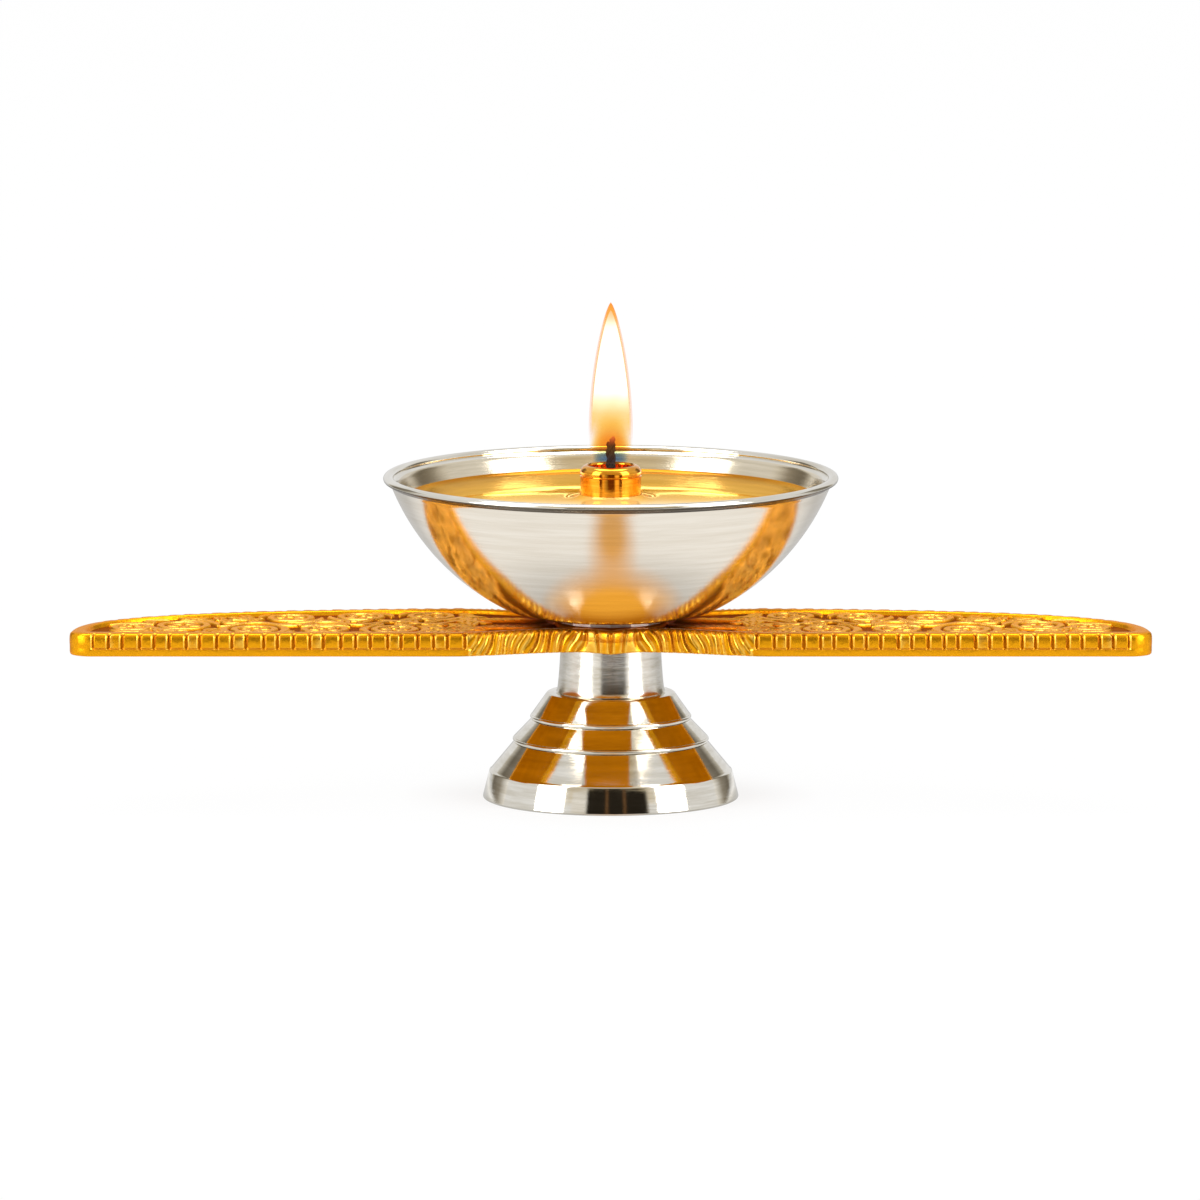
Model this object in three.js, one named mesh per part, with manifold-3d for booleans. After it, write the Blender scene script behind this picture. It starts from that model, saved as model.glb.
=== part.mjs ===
// A standing oil lamp: a turned silver-coloured foot and collar carry a gilt, scroll-ornamented plate,
// and a round bowl is drawn down on the plate by a stud, washers and a nut hidden in the hollow foot.
// A brass wick holder stands loose in the bowl, and a cotton wick runs up through it to the flame.
// Millimetres, +Z up, -Y is the front, origin at the centre of the ring that the foot stands on.

import * as THREE from 'three';
import { mergeVertices } from 'three/addons/utils/BufferGeometryUtils.js';
import Module from 'manifold-3d';

const wasm = await Module();
wasm.setup();

// Foot: a stepped, hollow cone on a flared band
const footRadius = 12.1;
const bandRise = 2.6;
const bandTopRadius = 11.45;
const coneFootRadius = 11.35;
const lowerRingRadius = 9.15;
const lowerRingHeight = 5.55;
const upperRingRadius = 7.5;
const upperRingHeight = 7.7;
const ringBead = 0.25;
const ringSink = 0.15;
const shoulderRadius = 6.0;
const footHeight = 10.0;
const footWall = 1.2;
const edgeBreak = 0.2;

// Collar between the foot and the plate
const collarHeight = 4.6;
const collarTopRadius = 4.72;
const collarFootRadius = 5.15;

// Plate: two wings with a straight front, a rounded back and a waist at the middle
const plateLength = 101.6;
const plateDepth = 17.6;
const plateThickness = 2.2;
const backRoundness = 2.7;
const tipRadius = 1.9;
const smallestCorner = 0.4;
const waistReach = 15;
const waistDepth = 2.55;
const cuspHalfWidth = 3.2;
const cuspDepth = 1.0;
const rimWidth = 1.7;
const fieldRecess = 0.4;
const padRadius = 5.4;
const outlineTolerance = 0.04;

// Beading round the plate's edge
const beadPitch = 1.46;
const beadShare = 0.7;
const beadShoulder = 0.12;
const beadVariety = 0.09;
const beadRelief = 0.34;
const beadUnevenness = 0.03;
const unevenRate = 2.4;
const plainTip = 2.2;
const bandHeight = 0.7;
const bandInset = 0.08;
const fluteReach = 13;

// Raised scrollwork in each wing
const reliefHeight = 0.3;
const reliefRoot = 0.2;
const reliefBreak = 0.12;
const tipFloor = 2.0;
const tipRoundelRadius = 2.0;
const wideRoundelRadius = 2.6;
const pairRoundelRadius = 2.3;
const pairCount = 3;
const pairPitch = 6.6;
const roundelBand = 0.6;
const roundelGap = 0.3;
const petalCount = 5;
const petalNotch = 0.55;
const eyeShare = 0.4;
const leafLength = 2.8;
const leafWidth = 1.4;
const leafPitch = 1.8;
const leafLean = 0.5;
const leafRoom = 0.95;
const middleLeafTurn = 0.3;
const frondCount = 4;
const frondPitch = 1.7;
const frondLength = 6.4;
const frondLean = 0.75;

// Bowl: a spherical shell with a round lip and a flat base
const bowlRadius = 22.3;
const bowlBaseRadius = 8.5;
const bowlLipHeight = 12.95;
const bowlWall = 0.8;
const bowlFloor = 0.9;
const lipWidth = 1.0;
const lipHeight = 0.7;
const lipOverhang = 0.5;
const lipBlendAngle = 1.3;
const baseBlend = 1.2;

// Stud under the bowl, with its seat flange, washers and nut
const studRadius = 2.0;
const studClearance = 0.25;
const seatFlangeRadius = 5.0;
const seatFlangeHeight = 0.6;
const studTail = 1.3;
const studChamfer = 0.3;
const washerRadius = 4.4;
const washerHeight = 0.8;
const springWasherRadius = 3.6;
const springWasherHeight = 0.9;
const springWasherSlit = 0.6;
const nutAcrossFlats = 7.0;
const nutHeight = 3.2;
const nutChamfer = 0.5;

// Wick, its holder and the flame
const wickRadius = 0.47;
const wickClearance = 0.28;
const wickShown = 2.7;
const charSwell = 1.04;
const holderFootMargin = 1.6;
const holderFootHeight = 0.8;
const holderConeRise = 2.0;
const tubeWall = 0.9;
const tubeHeight = 11.0;
const feedSlot = 1.1;
const feedSlotRise = 2.6;
const capRadius = 2.9;
const capWall = 0.75;
const capSkirt = 1.25;
const capWeb = 0.8;
const capWell = 1.5;
const capShoulder = 0.65;
const capClearance = 0.2;
const flameGap = 0.3;
const flameHeight = 15.1;
const flameRadius = 2.08;
const flameBulge = 0.2;
const flameTaper = 1.7;
const flameFullness = 0.75;

// Fineness of the turned pieces
const bigTurn = 40;
const smallTurn = 16;

// Heights where the pieces meet
const collarSeat = footHeight;
const plateUnderside = collarSeat + collarHeight;
const plateTop = plateUnderside + plateThickness;
const fieldFloor = plateTop - fieldRecess;
const bowlBase = plateTop + seatFlangeHeight;
const bowlCentre = bowlBase + Math.sqrt(bowlRadius ** 2 - bowlBaseRadius ** 2);
const bowlLip = bowlBase + bowlLipHeight;
const holderSeat = bowlBase + bowlFloor;
const tubeTop = holderSeat + tubeHeight;
const capTop = tubeTop + capWeb + capWell;
const wickTop = capTop + wickShown;
const webUnderside = footHeight - footWall;

// Fits that follow from the sizes above
const studHole = studRadius + studClearance;
const wickHole = wickRadius + wickClearance;
const tubeRadius = wickHole + tubeWall;
const capWellRadius = capRadius - capWall;
const innerBowlRadius = bowlRadius - bowlWall;
const bowlFloorRadius = Math.sqrt(innerBowlRadius ** 2 - (bowlCentre - holderSeat) ** 2);

const finishes = {
  silver: new THREE.MeshStandardMaterial({ color: 0xd9d6cf, roughness: 0.2, metalness: 1 }),
  gilt: new THREE.MeshStandardMaterial({ color: 0xe0a024, roughness: 0.28, metalness: 1 }),
  brass: new THREE.MeshStandardMaterial({ color: 0xdca032, roughness: 0.15, metalness: 1 }),
  steel: new THREE.MeshStandardMaterial({ color: 0x9a9a98, roughness: 0.4, metalness: 1 }),
  cotton: new THREE.MeshStandardMaterial({ color: 0x1d1512, roughness: 0.95, metalness: 0 }),
  flame: new THREE.MeshStandardMaterial({ color: 0xffc860, emissive: 0xffb040, roughness: 1, metalness: 0 }),
};

// A closed geometry as a solid that can be cut and joined, with its faces pointing out
function toSolid(geometry) {
  const bare = geometry.index ? geometry.toNonIndexed() : geometry.clone();
  bare.deleteAttribute('normal');
  bare.deleteAttribute('uv');
  const merged = mergeVertices(bare, 1e-4);
  const build = (triangles) => new wasm.Manifold(new wasm.Mesh({
    numProp: 3,
    vertProperties: merged.attributes.position.array,
    triVerts: new Uint32Array(triangles),
  }));
  const solid = build(merged.index.array);
  return solid.volume() < 0 ? build([...merged.index.array].reverse()) : solid;
}

// A solid's surface as a three.js geometry
function toGeometry(solid) {
  const mesh = solid.getMesh();
  const geometry = new THREE.BufferGeometry();
  geometry.setAttribute('position', new THREE.BufferAttribute(mesh.vertProperties, 3));
  geometry.setIndex(new THREE.BufferAttribute(mesh.triVerts, 1));
  geometry.computeVertexNormals();
  return geometry;
}

// A piece turned about Z from [radius, height] pairs
function turned(profile, segments) {
  const points = profile.map(([radius, height]) => new THREE.Vector2(radius, height));
  return toSolid(new THREE.LatheGeometry(points, segments).rotateX(Math.PI / 2));
}

// A ring-shaped piece: the same, with its profile closed on itself
function turnedRing(profile, segments) {
  return turned([...profile, profile[0]], segments);
}

// Points of an arc about (radius, height), angles in degrees from the +radius direction
function arc(radius, height, size, from, to, steps) {
  return Array.from({ length: steps + 1 }, (_, i) => {
    const angle = THREE.MathUtils.degToRad(from + (to - from) * i / steps);
    return [radius + size * Math.cos(angle), height + size * Math.sin(angle)];
  });
}

// A flat outline of [x, y] points pulled up from one height to another
function slab(outline, bottom, top) {
  const shape = new THREE.Shape(outline.map(([x, y]) => new THREE.Vector2(x, y)));
  const geometry = new THREE.ExtrudeGeometry(shape, { depth: top - bottom, bevelEnabled: false });
  return toSolid(geometry.translate(0, 0, bottom));
}

function disc(radius, bottom, top, segments) {
  return turned([[0, bottom], [radius, bottom], [radius, top], [0, top]], segments);
}

function makeFoot() {
  const bead = (radius, height) => arc(radius - ringSink, height, ringBead, -75, 75, 3);
  const inside = (radius) => radius - footWall;
  return turnedRing([
    [inside(footRadius), 0],
    [footRadius - edgeBreak, 0],
    [footRadius, edgeBreak],
    [bandTopRadius, bandRise],
    [coneFootRadius, bandRise + edgeBreak],
    ...bead(lowerRingRadius, lowerRingHeight),
    ...bead(upperRingRadius, upperRingHeight),
    [shoulderRadius + edgeBreak, footHeight - edgeBreak],
    [shoulderRadius, footHeight],
    [studHole, footHeight],
    [studHole, webUnderside],
    [inside(shoulderRadius) + edgeBreak, webUnderside],
    [inside(upperRingRadius), upperRingHeight - footWall / 2],
    [inside(lowerRingRadius), lowerRingHeight - footWall / 2],
    [inside(coneFootRadius), bandRise - footWall / 2],
  ], bigTurn);
}

function makeCollar() {
  const steps = 4;
  const flare = Array.from({ length: steps + 1 }, (_, i) => {
    const share = i / steps;
    const radius = collarFootRadius - (collarFootRadius - collarTopRadius) * Math.sqrt(share);
    return [radius, collarSeat + edgeBreak + (collarHeight - edgeBreak) * share];
  });
  return turnedRing([
    [studHole, collarSeat],
    [collarFootRadius - edgeBreak, collarSeat],
    ...flare,
    [studHole, plateUnderside],
  ], bigTurn);
}

// How far the plate's edge draws in at x: an ogee on each side of a small cusp at the middle
function waist(x) {
  const reach = Math.abs(x);
  if (reach < cuspHalfWidth) {
    return waistDepth - (waistDepth - cuspDepth) * (1 - Math.sin(Math.PI / 2 * reach / cuspHalfWidth));
  }
  if (reach > waistReach) return 0;
  const share = (reach - cuspHalfWidth) / (waistReach - cuspHalfWidth);
  return waistDepth * (1 + Math.cos(Math.PI * share)) / 2;
}

function frontEdge(x, inset) {
  return -plateDepth / 2 + inset + waist(x);
}

// The wings' backs are superellipses whose long axis is the front edge
function backEdge(x, inset) {
  const share = Math.min(1, Math.abs(x) / (plateLength / 2 - inset));
  const rise = (plateDepth - 2 * inset) * (1 - share ** backRoundness) ** (1 / backRoundness);
  return -plateDepth / 2 + inset + rise - waist(x);
}

// The right half of the plate's outline, closely spaced, from the front middle to the back middle
function halfOutline(inset) {
  const tip = plateLength / 2 - inset;
  const corner = Math.max(smallestCorner, tipRadius - inset / 2);
  const points = [];
  const frontSteps = 200;
  for (let i = 0; i < frontSteps; i++) {
    const x = (tip - corner) * i / frontSteps;
    points.push([x, frontEdge(x, inset)]);
  }
  points.push(...arc(tip - corner, -plateDepth / 2 + inset + corner, corner, -90, 0, 12));
  const backSteps = 240;
  for (let i = 1; i <= backSteps; i++) {
    const x = tip * Math.cos(Math.PI / 2 * i / backSteps) ** (2 / backRoundness);
    const y = backEdge(x, inset);
    if (y > points.at(-1)[1] || x < tip - corner) points.push([Math.max(0, x), y]);
  }
  return points;
}

// A half outline measured along its length: its total, and the point and outward direction at a length
function measured(points) {
  const lengths = [0];
  for (let i = 1; i < points.length; i++) {
    const [ax, ay] = points[i - 1];
    const [bx, by] = points[i];
    lengths.push(lengths[i - 1] + Math.hypot(bx - ax, by - ay));
  }
  const at = (length) => {
    const i = Math.min(points.length - 1, Math.max(1, lengths.findIndex((l) => l >= length)));
    const [ax, ay] = points[i - 1];
    const [bx, by] = points[i];
    const run = lengths[i] - lengths[i - 1];
    const share = (length - lengths[i - 1]) / run;
    return {
      x: ax + (bx - ax) * share,
      y: ay + (by - ay) * share,
      outX: (by - ay) / run,
      outY: (ax - bx) / run,
    };
  };
  return { total: lengths.at(-1), at };
}

function mirrored(half) {
  return [...half, ...half.map(([x, y]) => [-x, y]).reverse()];
}

// The fewest points of a line that keep it within the tolerance
function thinned(points, tolerance) {
  const [ax, ay] = points[0];
  const [bx, by] = points.at(-1);
  const run = Math.hypot(bx - ax, by - ay);
  const away = points.map(([x, y]) => Math.abs((bx - ax) * (y - ay) - (by - ay) * (x - ax)) / run);
  const furthest = Math.max(...away);
  if (furthest < tolerance) return [points[0], points.at(-1)];
  const split = away.indexOf(furthest);
  const first = thinned(points.slice(0, split + 1), tolerance);
  return [...first, ...thinned(points.slice(split), tolerance).slice(1)];
}

function smoothOutline(inset) {
  const half = thinned(halfOutline(inset), outlineTolerance);
  return [...half, ...half.slice(1, -1).map(([x, y]) => [-x, y]).reverse()];
}

// The beaded outline. The tip's front corner is plain, and onlyFlutes keeps just the beads near the waist
function beadedOutline(onlyFlutes) {
  const edge = measured(halfOutline(0));
  const count = Math.round(edge.total / beadPitch);
  const pitch = edge.total / count;
  const station = (i) => (i + (i < count ? beadVariety * Math.sin(unevenRate * i) : 0)) * pitch;
  const half = [];
  const add = (length, drop) => {
    const spot = edge.at(length);
    half.push([Math.max(0.02, spot.x - drop * spot.outX), spot.y - drop * spot.outY]);
  };
  for (let i = 0; i < count; i++) {
    const width = station(i + 1) - station(i);
    const middle = station(i) + width / 2;
    const { x, y } = edge.at(middle);
    const uneven = beadUnevenness * Math.sin(unevenRate * i);
    const corner = x > plateLength / 2 - plainTip && y < 0;
    if (corner) {
      for (const share of [-0.25, 0.25]) add(middle + share * width, 0);
    } else if (onlyFlutes && x > fluteReach) {
      add(middle, bandInset + uneven);
    } else {
      const foot = width * (1 + beadShare) / 4;
      const crown = width * beadShare / 2;
      add(middle - foot, beadRelief + uneven);
      add(middle - crown, beadRelief * beadShoulder + uneven);
      add(middle + crown, beadRelief * beadShoulder + uneven);
      add(middle + foot, beadRelief + uneven);
    }
  }
  return mirrored(half);
}

// Ring, rosette and eye of one roundel
function roundel({ x, y, radius }) {
  const bottom = fieldFloor - reliefRoot;
  const top = fieldFloor + reliefHeight;
  const inner = radius - roundelBand;
  const ring = turnedRing([
    [inner, bottom],
    [radius, bottom],
    [radius, top - reliefBreak],
    [radius - roundelBand / 2, top],
    [inner, top - reliefBreak],
  ], 12);
  const bloom = Array.from({ length: petalCount * 2 }, (_, i) => {
    const angle = Math.PI * i / petalCount;
    const reach = (inner - roundelGap) * (i % 2 ? petalNotch : 1);
    return [reach * Math.cos(angle), reach * Math.sin(angle)];
  });
  const eye = turned([[0, bottom], [inner * eyeShare, bottom], [0, top]], 5);
  return ring.add(slab(bloom, bottom, top - reliefBreak)).add(eye).translate([x, y, 0]);
}

// Roundels from the tip inwards: two on the wing's middle line, then staggered pairs to front and back
function roundelPlaces() {
  const margin = rimWidth + roundelGap;
  const middle = (x) => (frontEdge(x, margin) + backEdge(x, margin)) / 2;
  const tipX = plateLength / 2 - rimWidth - tipFloor - tipRoundelRadius;
  const wideX = tipX - tipRoundelRadius - roundelGap - wideRoundelRadius;
  const places = [
    { x: tipX, y: middle(tipX), radius: tipRoundelRadius },
    { x: wideX, y: middle(wideX), radius: wideRoundelRadius },
  ];
  const radius = pairRoundelRadius;
  for (let i = 0; i < pairCount; i++) {
    const frontX = wideX - wideRoundelRadius - leafPitch - radius - i * pairPitch;
    const backX = frontX - pairPitch / 2;
    places.push({ x: frontX, y: frontEdge(frontX, margin) + radius, radius });
    places.push({ x: backX, y: backEdge(backX, margin) - radius, radius });
  }
  return places;
}

// A pointed leaf with a rounded belly, lying along its own direction
function leaf({ x, y, angle, length, width }) {
  const outline = [[0, 0], [0.28, 0.42], [0.55, 0.5], [0.82, 0.28], [1, 0], [0.7, -0.35], [0.28, -0.42]];
  const turn = ([along, across]) => {
    const u = (along - 0.5) * length;
    const v = across * width;
    return [x + u * Math.cos(angle) - v * Math.sin(angle), y + u * Math.sin(angle) + v * Math.cos(angle)];
  };
  return slab(outline.map(turn), fieldFloor - reliefRoot, fieldFloor + reliefHeight - reliefBreak / 2);
}

// Slanting fronds where the wing meets the pad, ordered from the pad outwards
function frondPlaces() {
  return Array.from({ length: frondCount }, (_, i) => {
    const x = padRadius + frondLength / 4 + (i + 0.5) * frondPitch;
    const y = (frontEdge(x, rimWidth) + backEdge(x, rimWidth) - frondPitch) / 2;
    return { x, y, angle: frondLean + Math.PI / 2, length: frondLength, width: leafWidth };
  });
}

// Leaves stand along the front, the middle and the back of the field wherever a roundel leaves room
function leafPlaces(roundels) {
  const places = [];
  const inset = rimWidth + leafLength / 2 - reliefRoot;
  const first = plateLength / 2 - rimWidth - tipFloor - leafLength;
  const last = padRadius + frondPitch * frondCount + leafLength;
  for (let x = first; x > last; x -= leafPitch) {
    const front = frontEdge(x, inset);
    const back = backEdge(x, inset);
    for (const [y, turn] of [[front, -1], [(front + back) / 2, middleLeafTurn], [back, 1]]) {
      const clear = roundels.every((r) => Math.hypot(r.x - x, r.y - y) > r.radius + leafRoom);
      const angle = turn * (Math.PI / 2 + leafLean);
      if (clear) places.push({ x, y, angle, length: leafLength, width: leafWidth });
    }
  }
  return places;
}

function scrollwork(side) {
  const roundels = roundelPlaces();
  const leaves = [...leafPlaces(roundels), ...frondPlaces()];
  const flip = (place) => {
    const angle = side > 0 ? place.angle : Math.PI - place.angle;
    return { ...place, x: side * place.x, angle };
  };
  return [...roundels.map(flip).map(roundel), ...leaves.map(flip).map(leaf)];
}

function makePlate() {
  const overlap = 0.2;
  const bandTop = plateUnderside + bandHeight;
  const band = slab(beadedOutline(true), plateUnderside, bandTop);
  const beads = slab(beadedOutline(false), bandTop, plateTop);
  const core = slab(smoothOutline(beadRelief * 2), plateUnderside + overlap, plateTop - overlap / 2);
  const field = slab(smoothOutline(rimWidth), fieldFloor, plateTop + 1);
  const pad = disc(padRadius, fieldFloor - overlap, plateTop, bigTurn);
  const ornament = wasm.Manifold.union([...scrollwork(1), ...scrollwork(-1)]);
  const limit = slab(smoothOutline(rimWidth - overlap), fieldFloor - 2 * reliefRoot, plateTop);
  const body = band.add(beads).add(core).subtract(field).add(pad).add(ornament.intersect(limit));
  return body.subtract(disc(studHole, plateUnderside - 1, plateTop + 1, smallTurn));
}

function makeBowl() {
  const angleAt = (height, radius) => THREE.MathUtils.radToDeg(Math.asin((height - bowlCentre) / radius));
  const blendHeight = bowlBase + baseBlend / 2;
  const lipAngle = angleAt(bowlLip, bowlRadius);
  const outsideAtLip = Math.sqrt(bowlRadius ** 2 - (bowlCentre - bowlLip) ** 2);
  const lipMiddle = outsideAtLip + lipOverhang - lipWidth / 2;
  const roll = ([u, v]) => [lipMiddle + u * lipWidth / 2, bowlLip + v * lipHeight / 2];
  const outside = arc(0, bowlCentre, bowlRadius, angleAt(blendHeight, bowlRadius), lipAngle - lipBlendAngle, 7);
  const inside = arc(0, bowlCentre, innerBowlRadius, lipAngle - lipBlendAngle, angleAt(holderSeat, innerBowlRadius), 6);
  return turned([
    [0, bowlBase],
    [bowlBaseRadius - baseBlend, bowlBase],
    [bowlBaseRadius - baseBlend / 6, bowlBase + baseBlend / 6],
    ...outside,
    ...arc(0, 0, 1, -50, 190, 6).map(roll),
    ...inside,
    [0, holderSeat],
  ], bigTurn);
}

function makeStud() {
  const nutUnderside = webUnderside - washerHeight - springWasherHeight - nutHeight;
  const end = nutUnderside - studTail;
  return turned([
    [0, end],
    [studRadius - studChamfer, end],
    [studRadius, end + studChamfer],
    [studRadius, plateTop],
    [seatFlangeRadius, plateTop],
    [seatFlangeRadius, bowlBase],
    [0, bowlBase],
  ], smallTurn);
}

function washer(radius, bottom, top) {
  return turnedRing([[studHole, bottom], [radius, bottom], [radius, top], [studHole, top]], smallTurn);
}

function makeSpringWasher(bottom, top) {
  const slit = new THREE.BoxGeometry(springWasherSlit, springWasherRadius + 1, (top - bottom) * 3);
  slit.translate(0, (springWasherRadius + 1) / 2, (top + bottom) / 2);
  return washer(springWasherRadius, bottom, top).subtract(toSolid(slit));
}

function makeNut(bottom, top) {
  const hexagon = new THREE.CylinderGeometry(1, 1, top - bottom, 6).rotateX(Math.PI / 2);
  const corner = nutAcrossFlats / Math.sqrt(3);
  hexagon.scale(corner, corner, 1).translate(0, 0, (top + bottom) / 2);
  const chamfered = turned([
    [0, bottom],
    [nutAcrossFlats / 2, bottom],
    [corner, bottom + nutChamfer],
    [corner, top],
    [0, top],
  ], smallTurn);
  return toSolid(hexagon).intersect(chamfered).subtract(disc(studHole, bottom - 1, top + 1, smallTurn));
}

// Wide foot, cone and tube in one turning. Crossed slots at the foot of the tube let the oil in
function makeHolderStem() {
  const footRadius = bowlFloorRadius - holderFootMargin;
  const coneFoot = holderSeat + holderFootHeight;
  const stem = turnedRing([
    [wickHole, holderSeat],
    [footRadius - edgeBreak, holderSeat],
    [footRadius, holderSeat + edgeBreak],
    [footRadius, coneFoot - edgeBreak],
    [footRadius - edgeBreak, coneFoot],
    [tubeRadius + holderConeRise * 0.6, coneFoot + edgeBreak],
    [tubeRadius + edgeBreak, coneFoot + holderConeRise * 0.6],
    [tubeRadius, coneFoot + holderConeRise],
    [tubeRadius, tubeTop],
    [wickHole, tubeTop],
  ], smallTurn);
  const slotHeight = coneFoot + holderConeRise + feedSlotRise / 2;
  const slot = new THREE.BoxGeometry(tubeRadius * 3, feedSlot, feedSlotRise).translate(0, 0, slotHeight);
  return stem.subtract(toSolid(slot)).subtract(toSolid(slot.clone().rotateZ(Math.PI / 2)));
}

// Collar on top of the tube: a skirt over the tube, a web with the wick hole and an open well above it
function makeHolderCap() {
  const skirtBottom = tubeTop - capSkirt;
  const socket = tubeRadius + capClearance;
  const wellFloor = tubeTop + capWeb;
  return turnedRing([
    [socket, skirtBottom],
    [capRadius - edgeBreak, skirtBottom],
    [capRadius - edgeBreak / 2, skirtBottom + edgeBreak],
    [capRadius, tubeTop],
    ...arc(capRadius - capShoulder, capTop - capShoulder, capShoulder, 0, 80, 4),
    [capWellRadius, capTop],
    [capWellRadius, wellFloor],
    [wickHole, wellFloor],
    [wickHole, tubeTop],
    [socket, tubeTop],
  ], smallTurn);
}

function makeWick() {
  return turned([
    [0, holderSeat],
    [wickRadius, holderSeat],
    [wickRadius, capTop],
    [wickRadius * charSwell, wickTop - wickRadius],
    ...arc(0, wickTop - wickRadius, wickRadius, 30, 90, 3),
  ], 12);
}

// A tapering flame, open below round the wick that it burns on
function makeFlame() {
  const base = capTop + flameGap;
  const baseRadius = capWellRadius - wickClearance;
  const reach = (share) => {
    if (share < flameBulge) {
      const below = (flameBulge - share) / flameBulge;
      return flameRadius - (flameRadius - baseRadius) * below ** 2;
    }
    const above = (share - flameBulge) / (1 - flameBulge);
    return flameRadius * (1 - above ** flameTaper) ** flameFullness;
  };
  const steps = 12;
  const skin = Array.from({ length: steps }, (_, i) => [reach(i / steps), base + flameHeight * i / steps]);
  return turned([
    [0, wickTop + flameGap],
    [wickRadius + flameGap, wickTop],
    [wickRadius + flameGap, base],
    ...skin,
    [0, base + flameHeight],
  ], smallTurn);
}

const washerTop = webUnderside;
const springTop = washerTop - washerHeight;
const nutTop = springTop - springWasherHeight;

const pieces = [
  ['foot', makeFoot(), 'silver'],
  ['collar', makeCollar(), 'silver'],
  ['plate', makePlate(), 'gilt'],
  ['bowl', makeBowl(), 'silver'],
  ['bowl_stud', makeStud(), 'steel'],
  ['flat_washer', washer(washerRadius, springTop, washerTop), 'steel'],
  ['spring_washer', makeSpringWasher(nutTop, springTop), 'steel'],
  ['hex_nut', makeNut(nutTop - nutHeight, nutTop), 'steel'],
  ['wick_holder_stem', makeHolderStem(), 'brass'],
  ['wick_holder_cap', makeHolderCap(), 'brass'],
  ['wick', makeWick(), 'cotton'],
  ['flame', makeFlame(), 'flame'],
];

const lamp = new THREE.Group();
for (const [name, solid, finish] of pieces) {
  const mesh = new THREE.Mesh(toGeometry(solid), finishes[finish]);
  mesh.name = name;
  lamp.add(mesh);
}

export default lamp;
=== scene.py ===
"""A lit diya: silver-coloured foot, collar and bowl, a gilt winged plate, oil, a wick holder, wick and flame."""

import math

import bpy
import numpy as np
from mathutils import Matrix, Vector


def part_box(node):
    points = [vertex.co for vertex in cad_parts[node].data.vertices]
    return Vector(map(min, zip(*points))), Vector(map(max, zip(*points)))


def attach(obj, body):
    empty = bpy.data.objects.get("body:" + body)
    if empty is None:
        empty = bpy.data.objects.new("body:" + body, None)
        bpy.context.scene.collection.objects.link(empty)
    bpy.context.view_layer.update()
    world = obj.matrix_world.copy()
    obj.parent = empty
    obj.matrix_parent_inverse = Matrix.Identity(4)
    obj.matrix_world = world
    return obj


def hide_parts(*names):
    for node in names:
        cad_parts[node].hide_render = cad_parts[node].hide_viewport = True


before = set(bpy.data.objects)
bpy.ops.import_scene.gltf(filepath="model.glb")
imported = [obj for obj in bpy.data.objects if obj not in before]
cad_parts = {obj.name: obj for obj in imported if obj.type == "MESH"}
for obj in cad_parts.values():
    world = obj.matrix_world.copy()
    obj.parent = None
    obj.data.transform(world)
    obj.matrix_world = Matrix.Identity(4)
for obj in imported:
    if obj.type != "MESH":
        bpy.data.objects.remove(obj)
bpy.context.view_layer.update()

# Lengths are in millimetres until a mesh is made
MM = 0.001


def box_mm(node):
    low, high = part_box(node)
    return [v / MM for v in low], [v / MM for v in high]


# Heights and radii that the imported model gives
FOOT_RADIUS = box_mm("foot")[1][0]
FOOT_TOP = box_mm("foot")[1][2]
PLATE_BOTTOM = box_mm("plate")[0][2]
PLATE_TOP = box_mm("plate")[1][2]
BOWL_BASE = box_mm("bowl")[0][2]
BOWL_TOP = box_mm("bowl")[1][2]
HOLDER_SEAT = box_mm("wick_holder_stem")[0][2]
TUBE_TOP = box_mm("wick_holder_stem")[1][2]
CAP_BOTTOM = box_mm("wick_holder_cap")[0][2]
CAP_TOP = box_mm("wick_holder_cap")[1][2]
CAP_RADIUS = box_mm("wick_holder_cap")[1][0]
WICK_TOP = box_mm("wick")[1][2]
FLAME_BASE = box_mm("flame")[0][2]
FLAME_TOP = box_mm("flame")[1][2]

# Foot and collar
BAND_RISE = 2.6
BAND_TOP_RADIUS = 11.45
LOWER_RING = (9.15, 5.55)
UPPER_RING = (7.5, 7.7)
RING_BEAD = (0.27, 0.23)
RING_SINK = 0.17
RING_GAP = 0.24
SHOULDER_RADIUS = 6.0
FOOT_WALL = 1.2
STUD_HOLE = 2.25
COLLAR_TOP_RADIUS = 4.72
COLLAR_FOOT_RADIUS = 5.15

# Plate
PLATE_LENGTH = 101.6
PLATE_DEPTH = 17.6
BACK_ROUNDNESS = 2.7
TIP_RADIUS = 1.9
WAIST_REACH = 15
WAIST_DEPTH = 2.55
CUSP_HALF_WIDTH = 3.2
CUSP_DEPTH = 1.0
RIM_WIDTH = 1.6
FIELD_RECESS = 0.4
PAD_RADIUS = 5.4
PAD_SHADE = (6.5, 9.5)
BEAD_PITCH = 1.46
BEAD_VARIETY = 0.09
BEAD_RELIEF = 0.2
BEAD_FOOT = 0.7
UNEVEN_RATE = 2.4
PLAIN_TIP = 2.2
FRONT_DIP = 0.16
BACK_DIP = 0.26
FLUTE_REACH = 13
FLUTE_LEAN = 0.55
RELIEF_HEIGHT = 0.28
TIP_ROUNDEL = 2.0
WIDE_ROUNDEL = 2.6
PAIR_ROUNDEL = 2.3
PAIR_PITCH = 6.6
ROUNDEL_MARGIN = 0.4
ROUNDEL_GAP = 0.3
TIP_CLEARANCE = 3.7
LEAF_GAP = 1.8

# Wick holder and wick
CAP_SHOULDER = 0.7
CAP_FLOOR = 0.8
WELL_RADIUS = 2.15
WICK_HOLE = 0.75
TUBE_RADIUS = 1.85
STRANDS = 3
STRAND_RADIUS = 0.235
STRAND_OFFSET = 0.23
STRAND_TWIST = 3.2

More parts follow.
